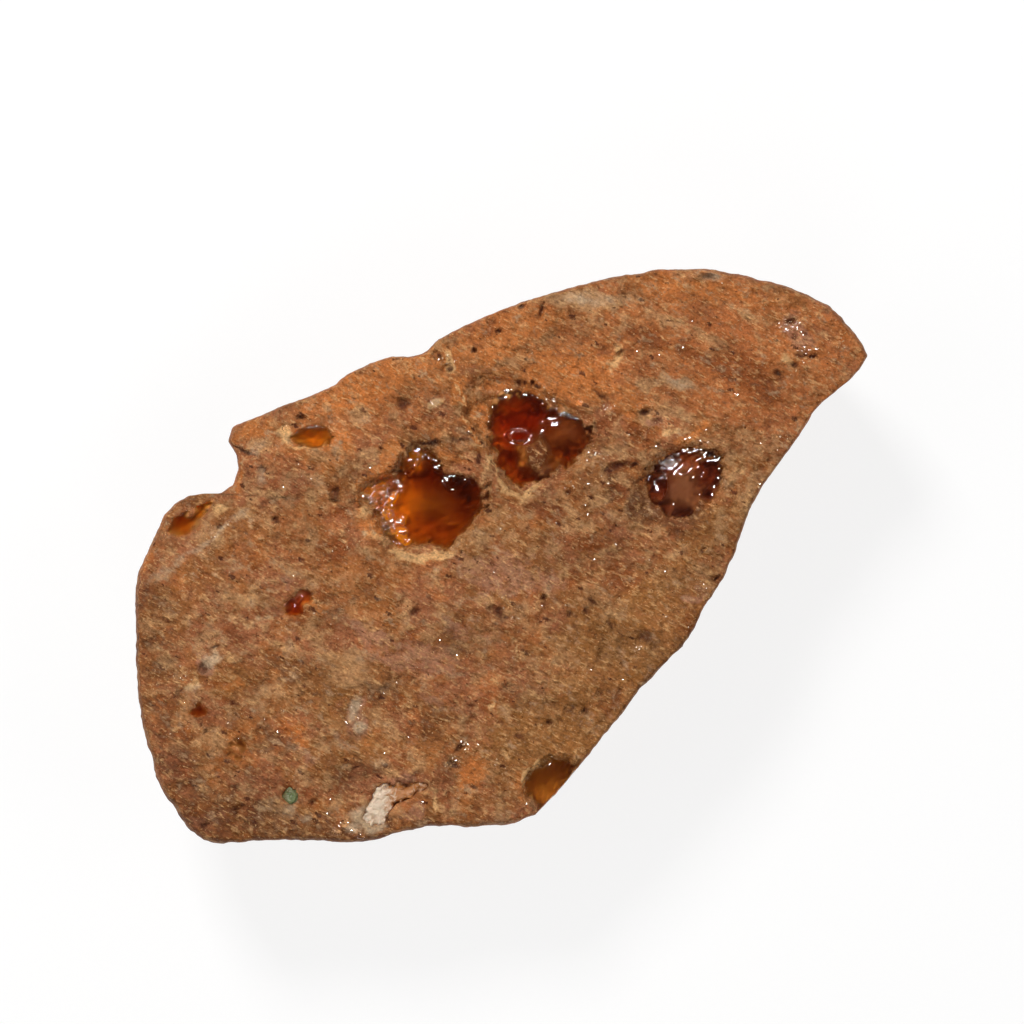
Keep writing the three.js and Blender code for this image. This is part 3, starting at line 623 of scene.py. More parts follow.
def face_relief(points, settings):
    """Ground face: broad waves, flaked plates with a level of their own, grains that stand out, grooves
    along the grinding direction and scattered pits."""
    spots = flat(points)
    along, across = turned(points, (0, 0), math.degrees(settings.grind_angle))
    grooves = np.column_stack([along / 9, across, np.zeros(len(points))])
    waves = 0.9 * lattice_noise(spots, 6.0, 11) + 0.55 * rough_noise(spots, 2.2, 3, 12)
    near, following, level = cell_pattern(spots + 0.25 * lattice_noise(spots, 0.7, 13)[:, None], 1.5, 14)
    plates = (level - 0.5) * smooth_step(0.0, 0.22, following - near)
    pit_near, _, pit_size = cell_pattern(spots * (1, 1, 0), 0.85, 15)
    pits = smooth_step(0.32, 0.12, pit_near + 0.25 * (1 - pit_size)) * (pit_size > 0.45)
    return (
        settings.wave_height / MM * waves
        + settings.flake_height / MM * plates
        + settings.lump_height / MM * rough_noise(spots, 0.75, 2, 18)
        + settings.groove_depth / MM * lattice_noise(grooves, 0.34, 16)
        - settings.pit_depth / MM * pits
    )


def skin_detail(nodule, points):
    """Height of the glassy skin over a plain dome: broken ridges near the rim, and on the large nodules the
    beads, rings and ripples of a fractured surface. A cloudy nodule has a torn or a rounded edge."""
    spots = flat(points)
    share = nodule.rim.share(points)
    ridges = rough_noise(spots * (1.0, 1.5, 1.0), 0.7, 3, 31)
    detail = 0.03 * lattice_noise(spots, 2.2, 32) + 0.03 * ridges * smooth_step(0.75, 0.98, share)
    for x, y, length, width, angle, height in nodule.crests:
        along, across = turned(points, (x, y), angle)
        bend = across - 0.25 * along**2
        detail += height * np.exp(-((bend / width) ** 2)) * smooth_step(1.0, 0.5, abs(along) / length)
    if nodule.name == "amber_opal":
        left = smooth_step(-5.8, -7.0, points[:, 0] + 0.25 * (points[:, 1] - 3.4))
        detail += 0.1 * left * ridges + 0.06 * left * lattice_noise(spots, 0.35, 33)
    if nodule.name == "red_opal":
        along, across = turned(points, (1.05, 7.3), -12)
        ring = np.hypot(along / 0.7, across / np.where(across > 0, 0.46, 0.26)) - 1
        detail += 0.12 * np.exp(-((ring / 0.2) ** 2))
    if nodule.name == "milky_opal":
        torn = smooth_step(0.45, 1.0, share) * abs(rough_noise(spots, 0.7, 3, 36))
        detail += 0.12 + 0.16 * rough_noise(spots, 0.9, 4, 35) - 0.7 * torn
    if nodule.name == "green_opal":
        detail += 0.12 - 0.25 * smooth_step(0.5, 1.0, share)
    if nodule.name == "plum_opal":
        along, across = turned(points, (9.65, 4.25), 75)
        bead = np.hypot(along / 0.95, across / 0.62)
        detail += 0.32 * np.sqrt(np.clip(1 - bead**2, 0, 1)) - 0.08 * np.exp(-(((bead - 1.15) / 0.2) ** 2))
        along, across = turned(points, (11.9, 5.6), 35)
        steps = smooth_step(1.6, 0.6, np.hypot(along / 1.0, across / 0.8))
        detail += 0.03 * steps * np.sin(across * 11 + 1.5 * lattice_noise(spots, 0.8, 34))
    return detail


def skin_dome(nodule, points, stone):
    """Height of a nodule's skin without its facets: a dome over its rim with the skin's detail, kept near
    the face at the stone's edge and drawn down into the rock beyond the rim."""
    share = nodule.rim.share(points)
    rise = (nodule.top - nodule.level) * (1.0 if nodule.large else 0.3)
    dome = nodule.level + (LARGE_LIFT if nodule.large else SMALL_LIFT) + rise * (1 - share**2)
    beyond = 1.2 * nodule.reach * np.maximum(share - 1.02, 0)
    face = stone.edge_height(stone.rim.share(points)) - shoulder_slope(points)
    proud = 0.15 if nodule.large else 0.02
    return np.minimum(dome + skin_detail(nodule, points), face + proud) - beyond


def skin_height(nodule, points, stone):
    """Height of a nodule's skin: its dome with its facets, each a plane through the skin at one point with
    the slope that mirrors a small lamp to the camera, blended in over an ellipse."""
    height = skin_dome(nodule, points, stone)
    stage = bpy.context.scene.specimen_stage
    for x, y, length, width, angle, lamp in FACETS.get(nodule.name, ()):
        spot = np.array([[x, y]])
        middle = np.append(spot, [skin_dome(nodule, spot, stone)], axis=1)
        normal = unit(spark_places(stage)[[lamp]] - middle) + unit(eye_place(stage) - middle)
        near = np.flatnonzero(np.linalg.norm(points - spot, axis=1) < length)
        plane = middle[0, 2] - (points[near] - spot) @ normal[0, :2] / normal[0, 2]
        along, across = turned(points[near], (x, y), angle)
        blend = smooth_step(1.0, 0.62, np.hypot(along / length, across / width))
        height[near] += blend * (plane - height[near])
    return height


def pocket_height(nodule, points, fray):
    """Height of the rock round a nodule: a bowl just above the nodule's foot, then a steep wall from its
    rim."""
    share = nodule.rim.share(points) + fray
    inside = np.minimum(share, 1)
    bowl = nodule.level - (nodule.level - nodule.foot - 0.15) * np.sqrt(1 - inside**2)
    return np.where(share < 1, bowl, nodule.level + (share - 1) * nodule.reach * 1.7)


def rock_height(points, stone, nodules, settings):
    """Height of the rock at plan points: the lowest of the face, the shelves and the pockets, less its
    holes, with the islands that stand up in the pockets."""
    spots = flat(points)
    share = stone.rim.share(points)
    worn = smooth_step(1.0, 0.98, share)
    fray = 0.09 * rough_noise(spots, 0.9, 3, 21)
    teeth = abs(rough_noise(spots, 0.8, 3, 25))
    relief = face_relief(points, settings)
    face = stone.edge_height(share) - shoulder_slope(points) + relief * worn
    height = face - DARK_DEPTH * worn * patches(points, DARK_SPOTS, 2 * fray)
    for shelf in SHELVES:
        away = Rim(shelf.outline, shelf.centre).share(points) + 0.35 * fray
        sunk = smooth_step(1.0, 1 - shelf.rim, away)
        bowl = shelf.depth * (0.45 * sunk + 0.55 * smooth_step(1.0, 0.5, away))
        rubble = 0.1 * rough_noise(spots, 0.8, 3, 22) + 0.4 * relief
        low_lip = smooth_step(7.0, 5.5, points[:, 1]) * smooth_step(0.6, 0.7, away)
        lines = shelf.ripple * low_lip * np.sin(16 * math.pi * away)
        height = np.minimum(height, face - bowl + (rubble * (1 - low_lip) + lines) * sunk)
    for nodule in nodules:
        near = np.flatnonzero(nodule.rim.share(points) < 2)
        close = points[near]
        level_ground = np.zeros(len(close))
        skin = skin_height(nodule, close, stone)
        ragged = teeth[near] * (LARGE_TEETH if nodule.large else SMALL_TEETH) / nodule.reach
        pocket = pocket_height(nodule, close, ragged) + 0.05 * lattice_noise(spots[near], 0.5, 23)
        for marks, depth in ((FLOOR_GLOW, GLOW_DEPTH), (FLOOR_HAZE, HAZE_DEPTH), (PAINTED_GOLD_GLINTS, GOLD_DEPTH)):
            raised = patches(close, marks, level_ground, FLOOR_SOFT)
            pocket += raised * np.maximum(skin - depth - pocket, 0)
        below = np.minimum(height[near], pocket)
        for name, x, y, length, width, angle, rise in ISLANDS:
            if name == nodule.name:
                island = skin + rise + 0.12 * rough_noise(spots[near], 0.6, 3, 24)
                stands = patches(close, [(x, y, length, width, angle, 1.0)], 4 * fray[near], 0.5)
                below += stands * np.maximum(island - below, 0)
        height[near] = below
    return height


def wall_relief(points):
    """Broken walls: facets sunk to a level of their own, with rubble of several sizes, all inside the
    outline."""
    near, following, level = cell_pattern(points * (1, 1, 0.7), 3.4, 41)
    facets = (level - 0.5) * smooth_step(0.0, 0.5, following - near)
    rubble = 0.3 * rough_noise(points, 2.4, 4, 42) + 0.06 * lattice_noise(points, 0.45, 43)
    return -abs(0.5 * facets + rubble)


def square_rings(cells):
    """A square grid seen as nested rings: each point's ring, from 0 in the middle, and its place along the
    ring from 0 to 1, anticlockwise from the lower right corner."""
    steps = np.arange(cells + 1) - cells // 2
    across, up = (axis.ravel() for axis in np.meshgrid(steps, steps))
    ring = np.maximum(abs(across), abs(up))
    side = 2.0 * np.maximum(ring, 1)
    place = np.select(
        [across == ring, up == ring, across == -ring],
        [(up + ring) / side, 1 + (ring - across) / side, 2 + (ring - up) / side],
        3 + (across + ring) / side,
    )
    return ring, place / 4


def grid_quads(cells):
    """Corners of each square of a grid, anticlockwise from above."""
    index = np.arange((cells + 1) ** 2).reshape(cells + 1, cells + 1)
    return np.stack([index[:-1, :-1], index[:-1, 1:], index[1:, 1:], index[1:, :-1]], axis=-1).reshape(-1, 4)


def wall_quads(rows):
    """Squares between closed rows of points, each row under the one before, facing outwards."""
    following = np.roll(rows, -1, axis=1)
    return np.stack([rows[:-1], rows[1:], following[1:], following[:-1]], axis=-1).reshape(-1, 4)


def disc_points(rim, cells, ring_share):
    """Plan points of a square grid drawn out to an outline: each ring of the square is the outline at that
    ring's share of the reach, with equal steps along it."""
    ring, place = square_rings(cells)
    loop = rim.spaced(4 * cells)
    at = place * 4 * cells
    border = np.column_stack([np.interp(at, np.arange(len(loop)), loop[:, axis]) for axis in (0, 1)])
    return rim.centre + ring_share[ring][:, None] * (border - rim.centre)


def border_row(cells):
    """Grid points of the outermost ring, in order along it."""
    ring, place = square_rings(cells)
    border = np.flatnonzero(ring == cells // 2)
    return border[np.argsort(place[border])]


def new_piece(name, points, faces, material, attributes=None):
    """A smooth mesh object at the origin from points in millimetres, riding on the stone's one body."""
    mesh = bpy.data.meshes.new(name)
    mesh.from_pydata(points * MM, [], faces)
    mesh.shade_smooth()
    for key, values in (attributes or {}).items():
        mesh.attributes.new(key, "FLOAT", "POINT").data.foreach_set("value", values.astype(np.float32))
    mesh.materials.append(material)
    piece = bpy.data.objects.new(name, mesh)
    bpy.context.scene.collection.objects.link(piece)
    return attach(piece, "root")


def lens(rim, cells, over, under):
    """A closed lens: a disc of points under an upper surface and one over a lower surface, which share
    their border. Over and under give a height for plan points and their share of the reach."""
    share = np.linspace(0, 1, cells // 2 + 1)
    plan = disc_points(rim, cells, share)
    ring = square_rings(cells)[0]
    upper = np.column_stack([plan, over(plan, share[ring])])
    inner = np.flatnonzero(ring < cells // 2)
    lower = np.column_stack([plan[inner], under(plan[inner], share[ring[inner]])])
    below = np.arange(len(plan))
    below[inner] = len(plan) + np.arange(len(inner))
    quads = grid_quads(cells)
    return np.vstack([upper, lower]), np.vstack([quads, below[quads[:, ::-1]]])


def to_linear(code):
    """An sRGB hex colour as linear red, green and blue."""
    parts = [int(code[n:n + 2], 16) / 255 for n in (1, 3, 5)]
    return tuple(p / 12.92 if p <= 0.04045 else ((p + 0.055) / 1.055) ** 2.4 for p in parts)


def per_size(millimetres):
    """The scale of a pattern in Object coordinates whose cells have a real size."""
    return 1 / (millimetres * MM)


def add(tree, kind, inputs, **settings):
    """Adds a node: settings are its own properties, and inputs its sockets' values or the sockets they come
    from."""
    node = tree.nodes.new(kind)
    for key, value in settings.items():
        setattr(node, key, value)
    for key, value in inputs.items():
        if isinstance(value, bpy.types.NodeSocket):
            tree.links.new(value, node.inputs[key])
        else:
            node.inputs[key].default_value = value
    return node


def new_material(name):
    """A material with an empty node tree but for its output, and both."""
    material = bpy.data.materials.new(name)
    material.use_nodes = True
    tree = material.node_tree
    tree.nodes.clear()
    return material, tree, tree.nodes.new("ShaderNodeOutputMaterial")


def ground_rhyolite(settings):
    """Rhyolite ground with coarse grit: a fine brown groundmass, tan, pink and ochre by turns, with iron
    stains, pale altered patches, bright and dark strokes along the grinding direction and dark grains. Its
    bright strokes and fine dots are partly painted highlights. It is dull, with a faint polish on its
    bright grains."""
    material, tree, output = new_material("ground_rhyolite")
    place = add(tree, "ShaderNodeTexCoord", {}).outputs["Object"]
    drawn, short = (
        add(
            tree, "ShaderNodeMapping",
            {"Vector": place, "Rotation": (0, 0, settings.grind_angle), "Scale": (stretch, 1, 1)},
            vector_type="TEXTURE",
        ).outputs["Vector"]
        for stretch in (4.0, 1.8)
    )
    # Each noise has three unlike channels, so each size of pattern gives three of its own.
    region, blotch, grain, speckle_and_sparkle, stroke = (
        add(
            tree, "ShaderNodeSeparateColor",
            {
                "Color": add(
                    tree, "ShaderNodeTexNoise",
                    {"Vector": vector, "Scale": per_size(size), "Detail": detail, "Roughness": 0.6},
                ).outputs["Color"],
            },
        ).outputs
        for vector, size, detail in (
            (place, 3.2, 3.0), (place, 1.1, 4.0), (short, 0.34, 3.0), (place, 0.16, 2.0), (drawn, 0.2, 2.0),
        )
    )
    # Most specks are small, and their borders are torn by the fine speckle.
    speck = add(tree, "ShaderNodeTexVoronoi", {"Vector": short, "Scale": per_size(0.6)})
    draw = add(tree, "ShaderNodeSeparateColor", {"Color": speck.outputs["Color"]}).outputs[0]
    rank = add(tree, "ShaderNodeMath", {0: draw, 1: 3.0}, operation="POWER").outputs[0]
    reach = add(tree, "ShaderNodeMath", {0: rank, 1: 0.3, 2: 0.03}, operation="MULTIPLY_ADD").outputs[0]
    torn = add(tree, "ShaderNodeMath", {0: speckle_and_sparkle[1], 1: 0.5, 2: -0.25}, operation="MULTIPLY_ADD").outputs[0]
    torn = add(tree, "ShaderNodeMath", {0: torn, 1: speck.outputs["Distance"]}, operation="ADD").outputs[0]
    away = add(tree, "ShaderNodeMath", {0: torn, 1: reach}, operation="DIVIDE").outputs[0]

    # Tints in the order they lie on each other: pattern, value where a tint begins, value where it is full,
    # tint and strength.
    layers = [
        (region[0], 0.42, 0.6, settings.pink, 1.0), (blotch[0], 0.48, 0.62, settings.pale, 0.75),
        (blotch[1], 0.5, 0.66, settings.rust, 0.6), (region[1], 0.52, 0.66, settings.orange, 0.35),
    ]
    fray = add(tree, "ShaderNodeMath", {0: blotch[2], 1: 1.6, 2: -1.4}, operation="MULTIPLY_ADD").outputs[0]
    fray = add(tree, "ShaderNodeMath", {0: grain[2], 1: 1.2, 2: fray}, operation="MULTIPLY_ADD").outputs[0]
    for attribute, tint, strength in (
        ("ochre", settings.ochre, 0.75), ("red", settings.red, 0.8), ("orange", settings.orange, 0.75),
        ("pale", settings.pale, 0.8), ("rust", settings.rust, 0.8), ("lilac", settings.lilac, 0.75),
        # The umber and cream layers also carry painted shade and painted highlight: shade at the low edges
        # and under the amber shelf's overhang, and highlight on lit lips and ridges.
        ("umber_and_shade", settings.umber_and_shade, 0.75), ("cream_and_highlight", settings.cream_and_highlight, 0.9),
    ):
        extent = add(tree, "ShaderNodeAttribute", {}, attribute_name=attribute).outputs["Fac"]
        ragged = add(
            tree, "ShaderNodeMath", {0: fray, 1: 0.9, 2: extent}, operation="MULTIPLY_ADD",
        ).outputs[0]
        layers.append((ragged, 0.12, 0.75, tint, strength))
    # Light strokes and fine cream dots are bright grains and also painted highlights: glancing light on the
    # strokes' edges, and sparkles.
    layers += [
        (grain[0], 0.52, 0.7, settings.cream_and_highlight, 0.42), (grain[1], 0.52, 0.7, settings.umber_and_shade, 0.54),
        (stroke[0], 0.6, 0.7, settings.cream_and_highlight, 0.5), (away, 1.0, 0.5, settings.black, 0.8),
        (speckle_and_sparkle[0], 0.62, 0.74, settings.cream_and_highlight, 0.6), (speckle_and_sparkle[2], 0.64, 0.76, settings.umber_and_shade, 0.6),
    ]
    for attribute, tint, strength, share in (
        ("dark", settings.black, 0.9, 0.45), ("chalk", settings.chalk, 0.8, 0.9),
        ("floor", settings.bed, 1.0, 0.0), ("glow", settings.bright_bed, 1.0, 0.0),
        # The gold layer is painted highlight: gold glints on the floor under the amber's skin.
        ("painted_gold_glint", settings.painted_gold_glint, 1.0, 0.0),
        ("smoke", settings.umber_and_shade, 0.9, 0.0), ("haze", settings.haze, 0.95, 0.0),
    ):
        extent = add(tree, "ShaderNodeAttribute", {}, attribute_name=attribute).outputs["Fac"]
        ragged = add(
            tree, "ShaderNodeMath", {0: fray, 1: share, 2: extent}, operation="MULTIPLY_ADD",
        ).outputs[0]
        layers.append((ragged, 0.0, 1.0, tint, strength))
    colour = (*settings.tan, 1)
    for pattern, begins, full, tint, strength in layers:
        mask = add(
            tree, "ShaderNodeMapRange",
            {"Value": pattern, "From Min": begins, "From Max": full, "To Max": strength},
            interpolation_type="SMOOTHSTEP",
        ).outputs["Result"]
        colour = add(tree, "ShaderNodeMix", {0: mask, 6: colour, 7: (*tint, 1)}, data_type="RGBA").outputs[2]
    # The grain's light and dark, which the pocket floors don't have.
    even = colour
    for pattern, dim, bright in ((speckle_and_sparkle[1], 0.76, 1.24), (region[2], 1.2, 0.8), (stroke[1], 0.86, 1.14)):
        value = add(
            tree, "ShaderNodeMapRange",
            {"Value": pattern, "From Min": 0.3, "From Max": 0.7, "To Min": dim, "To Max": bright},
        ).outputs["Result"]
        colour = add(
            tree, "ShaderNodeVectorMath", {0: colour, "Scale": value}, operation="SCALE",
        ).outputs["Vector"]
    floor = add(tree, "ShaderNodeAttribute", {}, attribute_name="floor").outputs["Fac"]
    colour = add(tree, "ShaderNodeMix", {0: floor, 6: colour, 7: even}, data_type="RGBA").outputs[2]
    grainy = add(tree, "ShaderNodeMath", {0: 1.0, 1: floor}, operation="SUBTRACT").outputs[0]

    rough = add(
        tree, "ShaderNodeMapRange",
        {"Value": speckle_and_sparkle[0], "From Min": 0.55, "From Max": 0.75, "To Min": 0.62, "To Max": 0.25},
    ).outputs["Result"]
    height = 0.0
    for pattern, rise in ((stroke[0], 0.1), (grain[1], -0.2), (grain[0], 0.18)):
        height = add(
            tree, "ShaderNodeMath", {0: pattern, 1: rise, 2: height}, operation="MULTIPLY_ADD",
        ).outputs[0]
    bump = add(
        tree, "ShaderNodeBump", {"Height": height, "Distance": MM, "Strength": grainy},
    ).outputs["Normal"]
    shader = add(
        tree, "ShaderNodeBsdfPrincipled",
        {"Base Color": colour, "Roughness": rough, "Normal": bump, "IOR": 1.5, "Specular IOR Level": 0.06},
    )
    tree.links.new(shader.outputs["BSDF"], output.inputs["Surface"])
    return material


def clear_opal(name, body, depth, roughness):
    """Fire opal: hydrated silica glass with a broken, wet-looking skin. It is clear, and iron oxide in it
    takes away blue and then green, so the colour deepens with the length of the way through it. Body is the
    colour that white light keeps after it has crossed that depth."""
    material, tree, output = new_material(name)
    loss = -np.log(np.clip(body, 0.0001, 0.999)) / depth
    density = float(loss.max()) * 1.02
    shader = add(
        tree, "ShaderNodeBsdfPrincipled",
        {"Base Color": (1, 1, 1, 1), "Roughness": roughness, "IOR": 1.45, "Transmission Weight": 1.0},
    )
    absorb = add(
        tree, "ShaderNodeVolumeAbsorption", {"Color": (*(1 - loss / density), 1), "Density": density},
    )
    tree.links.new(shader.outputs["BSDF"], output.inputs["Surface"])
    tree.links.new(absorb.outputs["Volume"], output.inputs["Volume"])
    return material


def cloudy_opal(name, milk, stain, clear_end, stained_end):
    """Common opal: silica glass clouded by tiny bubbles, so light spreads inside it, stained towards one
    end, with a skin that follows its clouds. The ends are places along X in millimetres."""
    material, tree, output = new_material(name)
    place = add(tree, "ShaderNodeTexCoord", {}).outputs["Object"]
    along = add(tree, "ShaderNodeSeparateXYZ", {"Vector": place}).outputs["X"]
    end = add(
        tree, "ShaderNodeMapRange",
        {
            "Value": along, "From Min": clear_end * MM, "From Max": stained_end * MM,
            "To Min": -1.8, "To Max": -0.5,
        },
    ).outputs["Result"]
    cloud = add(
        tree, "ShaderNodeTexNoise",
        {"Vector": place, "Scale": per_size(0.5), "Detail": 4.0, "Roughness": 0.65, "Distortion": 1.2},
    ).outputs["Fac"]
    ragged = add(tree, "ShaderNodeMath", {0: cloud, 1: 3.0, 2: end}, operation="MULTIPLY_ADD").outputs[0]
    mask = add(
        tree, "ShaderNodeMapRange", {"Value": ragged}, interpolation_type="SMOOTHSTEP",
    ).outputs["Result"]
    colour = add(
        tree, "ShaderNodeMix", {0: mask, 6: (*milk, 1), 7: (*stain, 1)}, data_type="RGBA",
    ).outputs[2]
    bump = add(tree, "ShaderNodeBump", {"Height": cloud, "Distance": 0.3 * MM}).outputs["Normal"]
    shader = add(
        tree, "ShaderNodeBsdfPrincipled",
        {
            "Base Color": colour, "Roughness": 0.3, "IOR": 1.45, "Subsurface Weight": 0.2, "Normal": bump,
            "Subsurface Radius": (1.0, 0.6, 0.4), "Subsurface Scale": 0.3 * MM,
        },
    )
    tree.links.new(shader.outputs["BSDF"], output.inputs["Surface"])
    return material


def rock_quartz(settings):
    """Quartz grains: small crystals with bright flat faces, tinted by the rock."""
    material, tree, output = new_material("rock_quartz")
    place = add(tree, "ShaderNodeTexCoord", {}).outputs["Object"]
    cloud = add(tree, "ShaderNodeTexNoise", {"Vector": place, "Scale": per_size(0.6)}).outputs["Fac"]
    colour = add(
        tree, "ShaderNodeMix", {0: cloud, 6: (*settings.cream_and_highlight, 1), 7: (*settings.quartz, 1)},
        data_type="RGBA",
    ).outputs[2]
    shader = add(
        tree, "ShaderNodeBsdfPrincipled", {"Base Color": colour, "Roughness": 0.12, "IOR": 1.54},
    )
    tree.links.new(shader.outputs["BSDF"], output.inputs["Surface"])
    return material


def light_table(settings):
    """White acrylic of a light table under the stone: a pale, even surface that glows a little, so that
    shadows on it stay faint."""
    material, tree, output = new_material("light_table_acrylic")
    place = add(tree, "ShaderNodeTexCoord", {}).outputs["Object"]
    tooth = add(tree, "ShaderNodeTexNoise", {"Vector": place, "Scale": per_size(1.2)}).outputs["Fac"]
    bump = add(tree, "ShaderNodeBump", {"Height": tooth, "Distance": 0.02 * MM}).outputs["Normal"]
    shader = add(
        tree, "ShaderNodeBsdfPrincipled",
        {
            "Base Color": (*settings.floor, 1), "Roughness": 0.9, "Specular IOR Level": 0.1, "Normal": bump,
            "Emission Color": (1, 1, 1, 1), "Emission Strength": settings.floor_glow,
        },
    )
    tree.links.new(shader.outputs["BSDF"], output.inputs["Surface"])
    return material


def colour_property(name, code, description):
    """A colour setting whose default is an sRGB hex value."""
    return FloatVectorProperty(
        name=name, description=description, default=to_linear(code), size=3, min=0, max=1, subtype="COLOR",
    )


def length_property(name, millimetres, description):
    """A length setting in metres."""
    return FloatProperty(
        name=name, description=description, default=millimetres * MM, min=0, precision=6, subtype="DISTANCE",
        unit="LENGTH",
    )


class RockSettings(bpy.types.PropertyGroup):
    """Sizes of the relief on the ground face, and the colours of the rock's minerals and stains."""

    cells: IntProperty(
        name="Cells", description="Squares along each side of the face's grid", default=256, min=32,
        max=320, step=8,
    )
    grind_angle: FloatProperty(
        name="Grinding direction", description="Direction of the scratches on the face",
        default=math.radians(-29), subtype="ANGLE", unit="ROTATION",
    )
    wave_height: length_property("Waves", 0.12, "Height of the broad waves of the face")
    flake_height: length_property("Flakes", 0.16, "Step between flaked plates")
    lump_height: length_property("Lumps", 0.14, "Height of the grains that stand out of the face")
    groove_depth: length_property("Grooves", 0.02, "Depth of the grinding grooves")
    pit_depth: length_property("Pits", 0.14, "Depth of the scattered pits")
    tan: colour_property("Tan", "#8e582e", "Groundmass")
    pink: colour_property("Pink", "#985c3a", "Groundmass with more feldspar")
    ochre: colour_property("Ochre", "#936030", "Groundmass with clay")
    red: colour_property("Red", "#ae6433", "Groundmass with more iron")
    orange: colour_property("Orange", "#c27236", "Fresh iron stain")
    pale: colour_property("Pale", "#ae8156", "Altered feldspar")
    rust: colour_property("Rust", "#82421a", "Old iron stain")
    lilac: colour_property("Lilac", "#a47054", "Devitrified bands")
    # Umber is also painted shade: at the low edges, and under the overhang over the amber's shelf.
    umber_and_shade: colour_property("Umber", "#572c12", "Dark clay in hollows")
    # Cream is also painted highlight: on lit lips and ridges, and in the fine strokes and dots of the face.
    cream_and_highlight: colour_property("Cream", "#d9a870", "Bright grains and frayed rims")
    chalk: colour_property("Chalk", "#bfa484", "White crust and veins")
    haze: colour_property("Haze", "#5c3a2a", "Clouds close under the skin of the clear opals")
    black: colour_property("Black", "#461c0c", "Dark grains and holes")
    bed: colour_property("Bed", "#805028", "Pocket floors under the clear opals")
    # The bright bed is partly painted light: the glow of light gathered inside the clear opals.
    bright_bed: colour_property("Bright bed", "#e4b880", "Chalky pocket floors, which make an opal glow")
    # Gold is painted highlight: the colour of the amber's gold glints, laid on its pocket floor.
    painted_gold_glint: colour_property("Gold", "#f0a820", "Yellow clay close under the skin of an opal")
    quartz: colour_property("Quartz", "#b08a64", "Crystals in the cavities")


class OpalSettings(bpy.types.PropertyGroup):
    """Body colours of the opals, as seen through the depth given, and their gloss."""

    depth: length_property("Depth", 5.0, "Way through the opal at which the body colours hold")
    roughness: FloatProperty(
        name="Skin roughness", description="Roughness of the glassy skin", default=0.05, min=0, max=0.15,
        subtype="FACTOR",
    )
    amber: colour_property("Amber", "#e48418", "Large orange nodule")
    brown_red: colour_property("Brown red", "#e86a14", "Large red nodule")
    plum: colour_property("Plum", "#d0643c", "Nodule with a dark, plum-brown body")
    honey: colour_property("Honey", "#f26e04", "Honey nodule and shoulder vein")
    cherry: colour_property("Cherry", "#e82c00", "Small red beads")
    tea: colour_property("Tea", "#e4a448", "Nodule cut by the lower right edge")
    milk: colour_property("Milk", "#f0d6ba", "Cloudy opal at the lower edge")
    peach: colour_property("Peach", "#bd793c", "Warm end of the cloudy opal")
    sea_green: colour_property("Sea green", "#7a8658", "Small green opal")
    moss: colour_property("Moss", "#6c5c38", "Stained end of the green opal")


class StageSettings(bpy.types.PropertyGroup):
    """Camera, light and floor."""

    view_width: length_property("View width", 64, "Width of the view at the stone's upper edge")
    view_centre: FloatVectorProperty(
        name="View centre", description="Point of the face that the camera looks at", size=2,
        default=(0.625 * MM, 2.72 * MM), precision=6, subtype="XYZ", unit="LENGTH",
    )
    lens: FloatProperty(
        name="Lens", description="Focal length", default=135, min=20, subtype="DISTANCE_CAMERA",
        unit="CAMERA",
    )
    key_power: FloatProperty(
        name="Key", description="Soft light from the upper left of the view", default=0.68, unit="POWER",
    )
    fill_power: FloatProperty(
        name="Fill", description="Each of the soft lights at the other three sides", default=0.24,
        unit="POWER",
    )
    spark_power: FloatProperty(
        name="Spark", description="Each of the small lights for glints on the opals", default=0.55,
        unit="POWER",
    )
    sky: FloatProperty(name="Sky", description="Brightness of the light all round", default=0.06, min=0)
    floor: colour_property("Floor", "#787878", "Plain pale floor, apart from its glow")
    floor_glow: FloatProperty(
        name="Floor glow", description="Light given off by the floor", default=0.82, min=0,
    )


LARGE_OPALS = (
    ("amber_opal", "amber_opal", "amber"), ("red_opal", "brown_red_opal", "brown_red"),
    ("plum_opal", "plum_opal", "plum"),
)
SMALL_OPALS = (
    ("honey_opal", "honey_opal", "honey"), ("red_bead_opal", "cherry_opal", "cherry"),
    ("shoulder_opal", "honey_opal", "honey"), ("corner_opal", "tea_opal", "tea"),
    ("red_chip_opal", "cherry_opal", "cherry"), ("brown_bead_opal", "amber_opal", "amber"),
)
CLOUDY_OPALS = (
    ("milky_opal", "milky_opal", "milk", "peach", -8.0, -6.4),
    ("green_opal", "sea_green_opal", "sea_green", "moss", -12.7, -13.9),
)
NODULE_NAMES = [row[0] for row in LARGE_OPALS + SMALL_OPALS + CLOUDY_OPALS]


